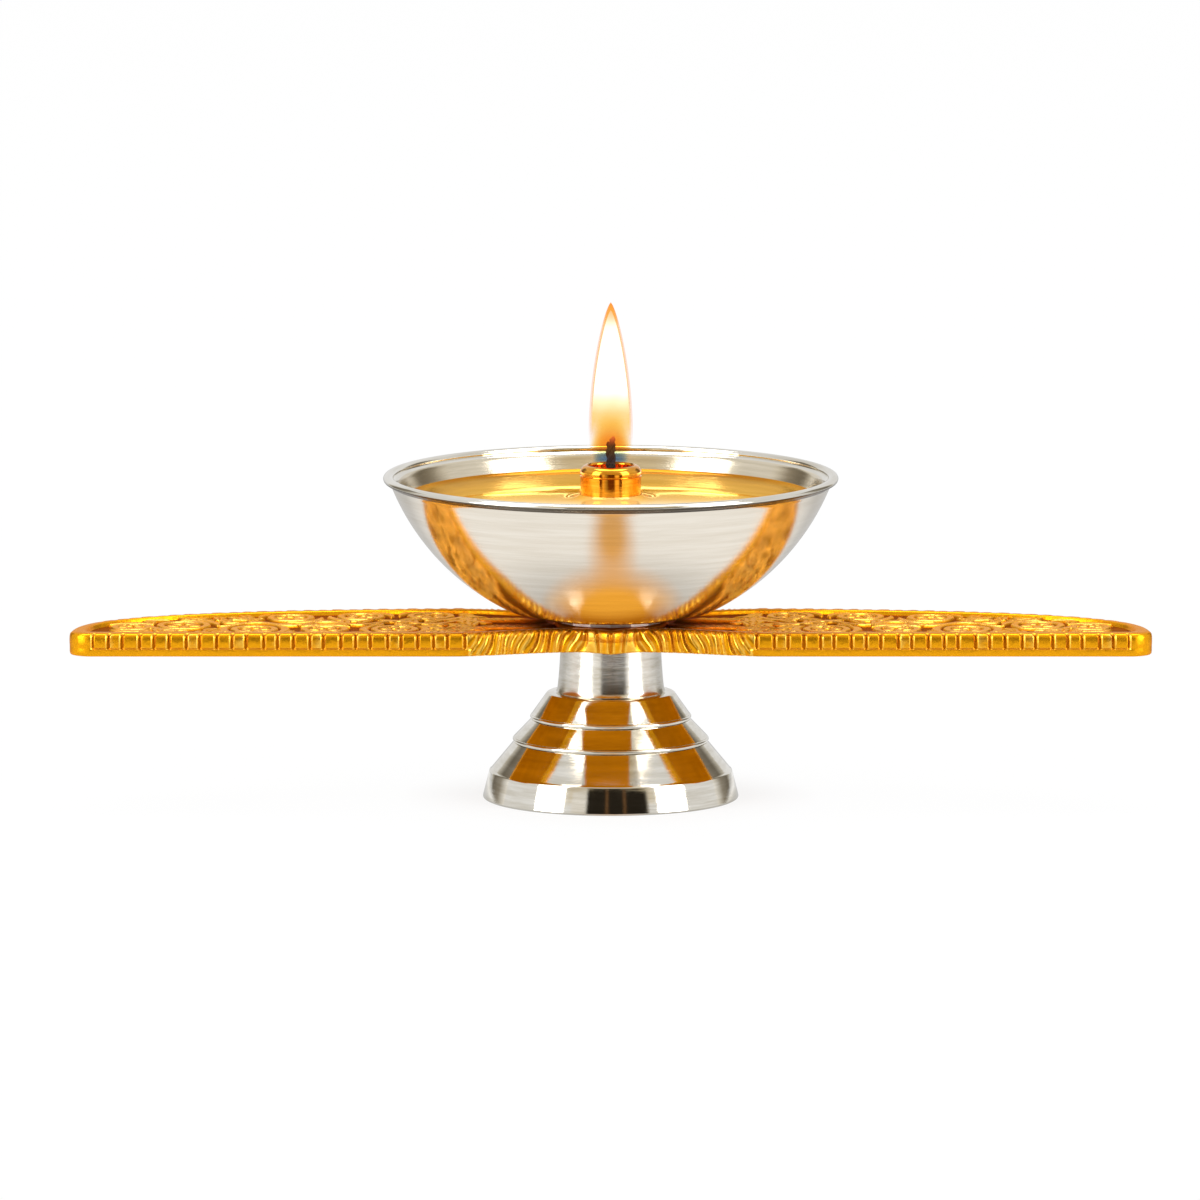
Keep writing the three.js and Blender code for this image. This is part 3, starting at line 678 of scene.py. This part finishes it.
def make_plate_rim(material):
    """Rim, beads and flutes: one section carried round the outline, its edge sinking between the beads.

    The mesh keeps how deep each point lies as its attribute "hollow", which the gilding's colour follows to paint
    highlights along the pillows' borders and shade in the notches.
    """
    t, beads = bead_stations()
    place = np.arange(len(t)) / BEAD_STEPS
    x, y = outline(t, 0.0)
    fluted = np.clip((FLUTE_REACH + 0.8 - x) / 1.6, 0, 1)
    bare = smooth((x - PLATE_LENGTH / 2 + PLAIN_TIP) / 0.3) * (y < 0)
    low = PLATE_BOTTOM + BEAD_FOOT
    rows, hollows = [], []
    for inset_a, z_a, inset_b, z_b, share_a, share_b in edge_section():
        inset = inset_a * (1 - fluted) + inset_b * fluted
        z = z_a * (1 - fluted) + z_b * fluted
        below = (PLATE_TOP - z) / (PLATE_TOP - PLATE_BOTTOM)
        lean = place - FLUTE_LEAN * below * smooth((x - 0.5) / 4) - 0.12 * np.sin(1.9 * place + 2.5 * below)
        sill = 0.7 * smooth((low + 0.2 - z_a) / 0.16)
        bead = np.maximum(bead_depth(place, beads, y > 0), sill)
        flute = flute_depth(place, lean, beads, x)
        depth = np.maximum(share_a * bead * (1 - fluted) * (1 - bare) + share_b * flute * fluted, 0)
        points = np.column_stack(outline(t, inset + BEAD_RELIEF * depth))
        dip = np.where(y > 0, BACK_DIP, FRONT_DIP) * np.clip(depth, 0, 0.8) * (z > PLATE_TOP - 0.2)
        rows.append(np.column_stack([points, z - dip]))
        hollows.append(depth * (1 - 0.5 * fluted))
    right, hollow = np.array(rows), np.array(hollows)
    ring = np.concatenate([right, right[:, -2:0:-1] * [-1, 1, 1]], axis=1)
    hollow = np.concatenate([hollow, hollow[:, -2:0:-1]], axis=1)
    rim = new_mesh("plate_rim", ring.reshape(-1, 3), strip_faces(*ring.shape[:2]), "stand", [material], crease=55)
    rim.data.attributes.new("hollow", "FLOAT", "POINT").data.foreach_set("value", hollow.reshape(-1))
    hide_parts("plate")


def bar(distance, half_width, bevel=0.13):
    """Height share of a flat-topped bar with bevelled sides at a distance from its middle line."""
    return smooth((half_width - np.abs(distance)) / bevel)


def roundels():
    """Centres and radii of the wing's roundels, from the tip inwards."""
    margin = RIM_WIDTH + ROUNDEL_MARGIN
    tip_x = PLATE_LENGTH / 2 - TIP_CLEARANCE - TIP_ROUNDEL
    wide_x = tip_x - TIP_ROUNDEL - ROUNDEL_GAP - WIDE_ROUNDEL
    places = [(x, (front_edge(x, margin) + back_edge(x, margin)) / 2, r)
              for x, r in ((tip_x, TIP_ROUNDEL), (wide_x, WIDE_ROUNDEL))]
    for i in range(3):
        front_x = wide_x - WIDE_ROUNDEL - LEAF_GAP - PAIR_ROUNDEL - i * PAIR_PITCH
        back_x = front_x - PAIR_PITCH / 2
        places.append((front_x, front_edge(front_x, margin) + PAIR_ROUNDEL, PAIR_ROUNDEL))
        places.append((back_x, back_edge(back_x, margin) - PAIR_ROUNDEL, PAIR_ROUNDEL))
    return [tuple(float(v) for v in place) for place in places]


def roundel_relief(x, y, place, turn):
    """A ring round a five-petalled flower with a drilled eye."""
    dx, dy = x - place[0], y - place[1]
    size = place[2]
    reach = np.hypot(dx, dy)
    relief = bar(reach - (size - 0.4), 0.42)
    for petal in range(5):
        angle = turn + 2 * math.pi * petal / 5
        along = dx * math.cos(angle) + dy * math.sin(angle) - 0.4 * size
        across = -dx * math.sin(angle) + dy * math.cos(angle)
        oval = np.hypot(along / (0.31 * size), across / (0.25 * size))
        relief = np.maximum(relief, 0.9 * smooth((1 - oval) / 0.3))
    eye = smooth((0.13 * size - reach) / 0.08)
    return relief * (1 - eye) - 0.5 * eye


def leaf_relief(x, y, place, angle, length, width, bend=0.16):
    """A curved, pointed leaf with a sunk vein."""
    along = (x - place[0]) * math.cos(angle) + (y - place[1]) * math.sin(angle)
    across = -(x - place[0]) * math.sin(angle) + (y - place[1]) * math.cos(angle)
    share = np.clip(along / length + 0.5, 0, 1)
    across = across - bend * length * np.sin(math.pi * share)
    half = width / 2 * np.sin(math.pi * share ** 0.75)
    body = bar(across, half, 0.16) * ((share > 0) & (share < 1))
    return 0.95 * body * (1 - 0.5 * np.exp(-(across / 0.08) ** 2))


def crescent_relief(x, y, place, start, spread):
    """A leaf that hugs a roundel from outside, thinning towards its ends."""
    dx, dy = x - place[0], y - place[1]
    angle = np.mod(np.arctan2(dy, dx) - start, 2 * math.pi) / spread
    thick = 0.5 * np.sin(math.pi * np.clip(angle, 0, 1)) ** 0.6
    return 0.9 * bar(np.hypot(dx, dy) - (place[2] + 0.62), thick, 0.14) * (angle < 1)


def stem_relief(x, y):
    """The wavy stem that winds between the front and the back roundels."""
    places = roundels()
    first = places[3][0]
    middle = (front_edge(x, RIM_WIDTH) + back_edge(x, RIM_WIDTH)) / 2
    wave = middle - 1.05 * np.cos(2 * math.pi * (x - first) / PAIR_PITCH) * smooth((x - 10) / 3)
    run = np.clip(np.minimum(x - 11, places[1][0] - WIDE_ROUNDEL - 0.6 - x) / 1.5, 0, 1)
    return 0.95 * bar(y - wave, 0.46 * np.sqrt(run), 0.13)


def foliage(places):
    """Leaves on a staggered lattice, each turned with the flow round the roundels, where there is room."""
    leaves = []
    rows = np.arange(-PLATE_DEPTH / 2 + RIM_WIDTH + 0.7, PLATE_DEPTH / 2, 1.3)
    for row, cy in enumerate(rows):
        for column, cx in enumerate(np.arange(12.6 + 0.8 * (row % 2), PLATE_LENGTH / 2 - RIM_WIDTH - 5.0, 1.6)):
            inside = front_edge(cx, RIM_WIDTH + 0.6) < cy < back_edge(cx, RIM_WIDTH + 0.6)
            free = all(math.hypot(cx - px, cy - py) > size + 1.15 for px, py, size in places)
            if not (inside and free and stem_relief(np.array(cx), np.array(cy)) < 0.1):
                continue
            near = min(places, key=lambda p: math.hypot(cx - p[0], cy - p[1]))
            angle = math.atan2(cy - near[1], cx - near[0]) + 0.7 * (-1) ** column + 0.3 * math.sin(2.1 * cx + cy)
            leaves.append(((cx, float(cy)), angle, 2.7 + 0.5 * math.sin(3.1 * cx), 1.35))
    return leaves


def fronds():
    """Long curved fronds where the wing meets the pad."""
    places = []
    for i in range(6):
        x = PAD_RADIUS + 1.2 + (i + 0.5) * 1.05
        middle = float(front_edge(x, RIM_WIDTH) + back_edge(x, RIM_WIDTH)) / 2
        places.append(((x, middle - 1.9), math.pi / 2 + 0.9, 5.4, 1.0, 0.2))
        places.append(((x + 0.5, middle + 2.6), math.pi / 2 - 0.9, 4.6, 0.95, -0.2))
    return places


def make_plate_field(side, material):
    """Recessed field of one wing, with its raised roundels, leaves and fronds, and half of the pad."""
    columns, rows = 520, 130
    inset = RIM_WIDTH + 0.02
    tip = PLATE_LENGTH / 2 - inset - 0.002
    u = np.linspace(0, 1, columns + 1)
    across = tip * (0.75 * u + 0.25 * np.sin(math.pi / 2 * u))
    v = np.linspace(0, 1, rows + 1)[:, None]
    x = np.broadcast_to(across, (rows + 1, columns + 1))
    y = front_edge(x, inset) * (1 - v) + back_edge(x, inset) * v
    relief = np.zeros_like(x)
    places = roundels()
    for i, place in enumerate(places):
        near = np.hypot(x - place[0], y - place[1]) < place[2] + 0.1
        relief[near] = roundel_relief(x[near], y[near], place, 0.9 * i)
        near = np.hypot(x - place[0], y - place[1]) < place[2] + 1.2
        for start in (0.6 + 0.8 * i, 0.6 + 0.8 * i + math.pi):
            relief[near] = np.maximum(relief[near], crescent_relief(x[near], y[near], place, start, 1.9))
    relief = np.where(relief < 0, relief, np.maximum(relief, stem_relief(x, y)))
    for place, *shape in [*foliage(places), *fronds()]:
        near = np.hypot(x - place[0], y - place[1]) < shape[1]
        relief[near] = np.maximum(relief[near], leaf_relief(x[near], y[near], place, *shape))
    edge = np.minimum(v, 1 - v) * (back_edge(x, inset) - front_edge(x, inset))
    relief = relief * np.clip(edge / 0.25, 0, 1)
    z = PLATE_TOP - FIELD_RECESS + RELIEF_HEIGHT * relief
    reach = np.hypot(x, y)
    pad = np.clip((PAD_RADIUS + 0.1 - reach) / 0.25, 0, 1)
    pad = pad * pad * (3 - 2 * pad)
    z = z * (1 - pad) + (PLATE_TOP - 0.002) * pad
    vertices = np.stack([side * x, y, z], axis=-1).reshape(-1, 3)
    index = np.arange((rows + 1) * (columns + 1)).reshape(rows + 1, columns + 1)
    a, b, c, d = index[:-1, :-1], index[:-1, 1:], index[1:, 1:], index[1:, :-1]
    order = (a, b, c, d) if side > 0 else (a, d, c, b)
    faces = np.stack(order, axis=-1).reshape(-1, 4).tolist()
    name = "plate_field_right" if side > 0 else "plate_field_left"
    new_mesh(name, vertices, faces, "stand", [material], crease=80)


def make_plate_underside(material):
    """The cast underside: a slightly hollowed face inside the rim's lower edge."""
    t = np.linspace(0, 2, 361)
    rings = []
    for inset, z in ((RIM_WIDTH - 0.05, 0.0), (RIM_WIDTH + 0.25, 0.1), (RIM_WIDTH + 1.2, 0.14)):
        x, y = outline(t, inset)
        right = np.column_stack([x, y, np.full_like(x, PLATE_BOTTOM + z)])
        rings.append(np.concatenate([right, right[-2:0:-1] * [-1, 1, 1]]))
    length = len(rings[0])
    faces = strip_faces(len(rings), length)
    faces.append(tuple(range(2 * length, 3 * length))[::-1])
    piece = new_mesh("plate_underside", np.concatenate(rings), faces, "stand", [material], crease=40)


def make_cap(material):
    """Collar of the wick holder: rounded shoulder, a fine groove below it and an open well."""
    outer = [(CAP_RADIUS - 0.2, CAP_BOTTOM), (CAP_RADIUS - 0.04, CAP_BOTTOM + 0.2),
             (CAP_RADIUS - 0.02, CAP_TOP - 1.05)]
    groove = arc((CAP_RADIUS, CAP_TOP - 0.95), (0.1, 0.09), -90, -270, 8)
    top = arc((CAP_RADIUS - CAP_SHOULDER, CAP_TOP - CAP_SHOULDER), (CAP_SHOULDER, CAP_SHOULDER), 0, 86, 14)
    floor = TUBE_TOP + CAP_FLOOR
    well = filleted([(WELL_RADIUS + 0.1, CAP_TOP), (WELL_RADIUS, CAP_TOP - 0.15), (WELL_RADIUS, floor),
                     (WICK_HOLE, floor), (WICK_HOLE, TUBE_TOP), (TUBE_RADIUS, TUBE_TOP),
                     (TUBE_RADIUS, CAP_BOTTOM)], 0.12)
    profile = [*outer, *groove, *top, *well]
    piece = turned("wick_holder_collar", profile, "wick_holder", [material], closed=True, segments=128)
    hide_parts("wick_holder_cap")


def make_wick(material):
    """Three twisted strands with a ragged, burnt top."""
    sides, low = 10, HOLDER_SEAT
    vertices, faces = [], []
    for strand in range(STRANDS):
        top = WICK_TOP - 0.25 * strand
        rise = np.linspace(low, top, 150)
        start = len(vertices)
        for i, z in enumerate(rise):
            angle = 2 * math.pi * (strand / STRANDS + (z - low) / STRAND_TWIST)
            thin = STRAND_RADIUS * (1 - 0.7 * max(0, (z - top + 0.4) / 0.4) ** 2)
            rough = 1 + 0.12 * math.sin(9.1 * z + strand) * math.sin(4.3 * z)
            cx, cy = STRAND_OFFSET * math.cos(angle), STRAND_OFFSET * math.sin(angle)
            for j in range(sides):
                a = 2 * math.pi * j / sides
                vertices.append((cx + thin * rough * math.cos(a), cy + thin * rough * math.sin(a), z))
            if i:
                base = start + (i - 1) * sides
                for j in range(sides):
                    k = (j + 1) % sides
                    faces.append((base + j, base + k, base + sides + k, base + sides + j))
        faces.append(tuple(range(start, start + sides))[::-1])
        faces.append(tuple(range(len(vertices) - sides, len(vertices))))
    piece = new_mesh("wick_strands", vertices, faces, "wick", [material], crease=60)
    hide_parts("wick")


def flame_reach(share):
    """The flame's radius at a share of its height."""
    if share < FLAME_BULGE:
        return FLAME_RADIUS - (FLAME_RADIUS - FLAME_FOOT_RADIUS) * ((FLAME_BULGE - share) / FLAME_BULGE) ** 2
    above = (share - FLAME_BULGE) / (1 - FLAME_BULGE)
    return FLAME_RADIUS * (1 - above ** FLAME_TAPER) ** FLAME_FULLNESS


def make_flame():
    """Nested glowing layers: an orange skin, a yellow one and a white heart that starts above the wick."""
    rose, orange, yellow, white = (0.85, 0.35, 0.2), (1.0, 0.32, 0.02), (1.0, 0.62, 0.14), (1.0, 1.0, 0.97)
    layers = [
        ("flame_skin", 1.0, 0.0, 1.0, 1.0,
         [(0.0, rose), (0.12, rose), (0.25, orange), (1.0, orange)],
         [(0.0, 0.02), (0.13, 0.04), (0.25, 0.16), (0.85, 0.26), (1.0, 0.85)]),
        ("flame_glow", 0.93, 0.0, 0.985, 1.0,
         [(0.0, orange), (0.1, orange), (0.2, yellow), (1.0, yellow)],
         [(0.0, 0.01), (0.12, 0.04), (0.2, 0.22), (0.85, 0.36), (1.0, 0.75)]),
        ("flame_heart", 0.86, 0.16, 0.95, 2.1,
         [(0.16, (0.48, 0.26, 0.04)), (0.24, (0.49, 0.36, 0.07)), (0.31, (0.49, 0.43, 0.2)), (0.39, (0.7, 0.68, 0.5)),
          (0.46, white), (1.0, white)],
         [(0.16, 0.0), (0.24, 0.35), (0.31, 0.68), (0.38, 0.92), (0.44, 1.0)]),
    ]
    height = FLAME_TOP - FLAME_BASE
    for name, size, low, high, strength, colours, cover in layers:
        profile = [(0.01, FLAME_BASE)] if low == 0 else []
        for own in np.linspace(0, 1, 64):
            reach = flame_reach(low + own * (1 - low)) * size
            profile.append((max(0.01, reach), FLAME_BASE + height * (low + own * (high - low))))
        piece = turned(name, profile, "wick", [flame_layer(name, colours, cover, strength)], segments=64, crease=80)
        piece.visible_shadow = False
        if name == "flame_skin":
            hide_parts("flame")


def dress_nodes(brass, steel):
    """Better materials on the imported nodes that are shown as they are."""
    wanted = {"wick_holder_stem": brass, "bowl_stud": steel, "flat_washer": steel,
              "spring_washer": steel, "hex_nut": steel}
    for node, material in wanted.items():
        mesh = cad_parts[node].data
        mesh.materials.clear()
        mesh.materials.append(material)


def floor_material():
    """Pale matte floor, near white to camera rays and a plain light to metal, with painted shade to metal: darker
    close to the foot and behind.
    """
    m = Nodes("floor_white")
    matte = m.add("ShaderNodeBsdfDiffuse")
    matte.inputs["Color"].default_value = (0.9, 0.9, 0.9, 1)
    path = m.add("ShaderNodeLightPath")
    x, y, _ = m.parts(m.position())
    reach = m.reach(x, y)
    # Painted shade for reflections: the floor's glow to glossy rays dims close to the foot, and also behind the lamp
    mirrored_painted_shade = m.math("MULTIPLY", m.scaled(reach, 0.010, 0.027, 0.55, 0.96), m.scaled(y, 0.02, 0.06, 1.0, 0.62))
    glossy = path.outputs["Is Glossy Ray"]
    white = m.add("ShaderNodeEmission")
    m.link(m.math("ADD", m.math("MULTIPLY", mirrored_painted_shade, glossy), m.math("SUBTRACT", 1.0, glossy)),
           white.inputs["Strength"])
    seen = m.math("MAXIMUM", path.outputs["Is Camera Ray"], path.outputs["Is Transmission Ray"])
    share = m.math("MAXIMUM", m.math("MULTIPLY", seen, m.scaled(reach, 0.011, 0.020, 0.8, 0.98)), glossy)
    m.link(m.mixed(share, matte, white).outputs[0], m.output.inputs[0])
    return m.material


def card(name, place, turn, size, stops, two_sided=False, soft=False):
    """A flat card, seen only in reflections, whose glow runs across its own X. A soft one fades out all round."""
    bpy.ops.mesh.primitive_plane_add(size=1, location=place, rotation=[math.radians(angle) for angle in turn])
    sheet = bpy.context.object
    sheet.name = name
    sheet.scale = (*size, 1)
    sheet.visible_camera = sheet.visible_diffuse = sheet.visible_transmission = sheet.visible_shadow = False
    m = Nodes(name)
    x, y, _ = m.parts(m.position())
    glow = m.add("ShaderNodeEmission")
    m.link(m.ramp(m.scaled(x, -0.5, 0.5), stops), glow.inputs["Color"])
    shown = m.scaled(m.reach(x, y), 0.2, 0.5, 1.0, 0.0) if soft else 1.0
    if not two_sided:
        facing = m.math("SUBTRACT", 1.0, m.add("ShaderNodeNewGeometry").outputs["Backfacing"])
        glow = m.mixed(m.math("MULTIPLY", facing, shown), m.add("ShaderNodeBsdfTransparent"), glow)
    m.link(glow.outputs[0], m.output.inputs[0])
    sheet.data.materials.append(m.material)


def make_stage():
    """The floor, and cards for what the metal mirrors of the room and, close by, painted reflections of the lamp's
    own gold and brown.

    Places and sizes here are in metres.
    """
    bpy.ops.mesh.primitive_plane_add(size=8)
    floor = bpy.context.object
    floor.name = "floor"
    floor.data.materials.append(floor_material())
    black, brown, grey, pale = (0.02, 0.016, 0.011), (0.20, 0.10, 0.04), (0.5, 0.45, 0.37), (0.8, 0.77, 0.72)
    dusk = (0.70, 0.60, 0.42)
    front = [(0.0, pale), (0.22, pale), (0.24, black), (0.45, black), (0.47, brown), (0.49, black), (0.65, black),
             (0.67, brown), (0.69, black), (0.96, black), (1.0, grey)]
    card("front_card", (-0.003, -0.16, 0.036), (90, 0, 0), (0.224, 0.072), front, two_sided=True)
    above = [(0.0, pale), (0.2, dusk), (0.8, dusk), (1.0, pale)]
    card("upper_card", (0, -0.5, 0.44), (90, 0, 0), (0.98, 0.56), above, two_sided=True)
    shade = [(0.0, (0.9, 0.88, 0.84)), (0.35, (0.3, 0.27, 0.22)), (0.75, (0.16, 0.14, 0.11)), (1.0, (0.6, 0.57, 0.5))]
    for turn, name, stops in ((130, "right_card", shade), (-130, "left_card", [(1 - p, c) for p, c in shade[::-1]])):
        place = (0.3 * math.sin(math.radians(turn)), -0.3 * math.cos(math.radians(turn)), 0.1)
        card(name, place, (90, 0, turn), (0.2, 0.2), stops, two_sided=True)
    # Painted reflections of the plate's own gold and brown, seen in the bowl's bottom and front and on the foot
    gold, amber, umber = (1.0, 0.46, 0.05), (0.50, 0.165, 0.002), (0.45, 0.13, 0.001)
    card("gold_above", (0.0002, -0.0095, 0.0157), (0, 0, 90), (0.021, 0.017),
         [(0.0, gold), (0.45, gold), (0.6, umber), (1.0, umber)], soft=True)
    card("gold_below", (-0.0009, -0.0117, 0.0156), (180, 0, 0), (0.0108, 0.0084), [(0.0, amber), (1.0, amber)])
    card("gold_streak", (0.0004, -0.037, 0.00005), (0, 0, 90), (0.056, 0.016),
         [(0.0, (0.62, 0.36, 0.15)), (0.6, (0.8, 0.42, 0.12)), (1.0, (0.98, 0.44, 0.06))], soft=True)
    # Painted reflections on the wick holder's cap: bright and dark upright streaks
    bright, dark = (1.2, 0.95, 0.55), (0.16, 0.06, 0.01)
    streaks = [(0.0, dark), (0.14, dark), (0.2, bright), (0.32, bright), (0.38, dark), (0.58, dark), (0.66, grey),
               (0.8, bright), (0.88, dark), (1.0, dark)]
    card("cap_card", (0, -0.009, 0.03), (90, 0, 180), (0.014, 0.0032), streaks)


def make_world():
    """Plain white to camera, glossy and clear rays, and a softer grey as the light of the room."""
    world = bpy.data.worlds.new("studio")
    bpy.context.scene.world = world
    m = Nodes("studio", world)
    path = m.add("ShaderNodeLightPath")
    seen = m.math("MAXIMUM", path.outputs["Is Camera Ray"], path.outputs["Is Glossy Ray"])
    clear = m.math("MAXIMUM", seen, path.outputs["Is Transmission Ray"])
    background = m.add("ShaderNodeBackground")
    m.link(m.scaled(clear, 0, 1, 0.7, 1.0), background.inputs["Strength"])
    m.link(background.outputs[0], m.output.inputs[0])


def area_light(name, place, aim, size, radiance, only_glossy=False):
    light = bpy.data.lights.new(name, "AREA")
    light.shape = "RECTANGLE"
    light.size, light.size_y = size
    light.energy = radiance * math.pi ** 2 * size[0] * size[1]
    lamp = bpy.data.objects.new(name, light)
    bpy.context.scene.collection.objects.link(lamp)
    lamp.location = place
    lamp.rotation_euler = (Vector(aim) - Vector(place)).to_track_quat("-Z", "Y").to_euler()
    lamp.visible_camera = False
    lamp.visible_diffuse = not only_glossy


def make_lights():
    """Two softboxes and an overhead one, and two small white bounces that light metal alone."""
    heart = (0, 0, 0.02)
    area_light("left_softbox", (-0.75, -0.45, 0.45), heart, (0.5, 0.8), 1.3)
    area_light("right_softbox", (0.75, -0.45, 0.45), heart, (0.5, 0.8), 1.3)
    area_light("top_softbox", (0.0, 0.15, 0.9), heart, (0.9, 0.5), 1.2)
    for side, name in ((-1, "left_edge_bounce"), (1, "right_edge_bounce")):
        area_light(name, (0.13 * side, -0.085, 0.04), (0, 0, 0.015), (0.08, 0.09), 0.6, only_glossy=True)


def make_camera():
    """Long lens, 8.2 degrees above the horizon, framed as the photograph is."""
    photo_px, px_per_mm = 1200, 10.61
    axis_px, floor_px = 610.75, 796.7
    elevation, distance = math.radians(8.2), 1.5
    width = photo_px / px_per_mm * MM
    target = Vector((-(axis_px - photo_px / 2) / px_per_mm * MM, 0,
                     (floor_px - photo_px / 2) / (px_per_mm * math.cos(elevation)) * MM))
    data = bpy.data.cameras.new("camera")
    data.sensor_width = 36
    data.lens = data.sensor_width * distance / width
    data.clip_end = 20
    camera = bpy.data.objects.new("camera", data)
    bpy.context.scene.collection.objects.link(camera)
    back = Vector((0, -math.cos(elevation), math.sin(elevation)))
    camera.location = target + back * distance
    camera.rotation_euler = (-back).to_track_quat("-Z", "Y").to_euler()
    bpy.context.scene.camera = camera


cold, warm = ((0.66, 0.61, 0.51), (0.88, 0.85, 0.78)), ((0.79, 0.72, 0.61), (0.89, 0.83, 0.73))
band_silver = spun_silver("band_silver", cold, 0.06, 0.12, 0.3)
cone_silver = spun_silver("cone_silver", cold, 0.08, 0.2, 0.4)
collar_silver = spun_silver("collar_silver", cold, 0.17, 0.3, 0.5)
lip_silver = spun_silver("lip_silver", cold, 0.07, 0.1, 0.3)
# The lip's underside is painted near black as the shade beneath the lip
shaded_lip_silver = spun_silver("shaded_lip_silver", ((0.05, 0.04, 0.03), (0.22, 0.18, 0.13)), 0.25, 0.3, 0.3)
bowl_silver = spun_silver("bowl_silver", warm, 0.15, 0.2, 0.7)
# The bowl's inside is painted darker and browner than its outside: painted shade and a painted gold reflection
inner_shaded_silver = spun_silver("inner_shaded_silver", ((0.63, 0.55, 0.41), (0.83, 0.74, 0.58)), 0.15, 0.35, 0.4)
gilt = gilt_casting()
bright_gilt = gilt_edge()
shaded_raw_gilt = shaded_raw_casting()
brass = polished_brass()

make_foot([band_silver, cone_silver])
make_collar(collar_silver)
make_plate_rim(bright_gilt)
make_plate_field(1, gilt)
make_plate_field(-1, gilt)
make_plate_underside(shaded_raw_gilt)
make_bowl([bowl_silver, inner_shaded_silver, lip_silver, shaded_lip_silver])
make_oil(lamp_oil())
make_cap(brass)
make_wick(charred_cotton())
make_flame()
dress_nodes(brass, plain_steel())
make_stage()
make_world()
make_lights()
make_camera()
bpy.context.scene.view_settings.view_transform = "Standard"
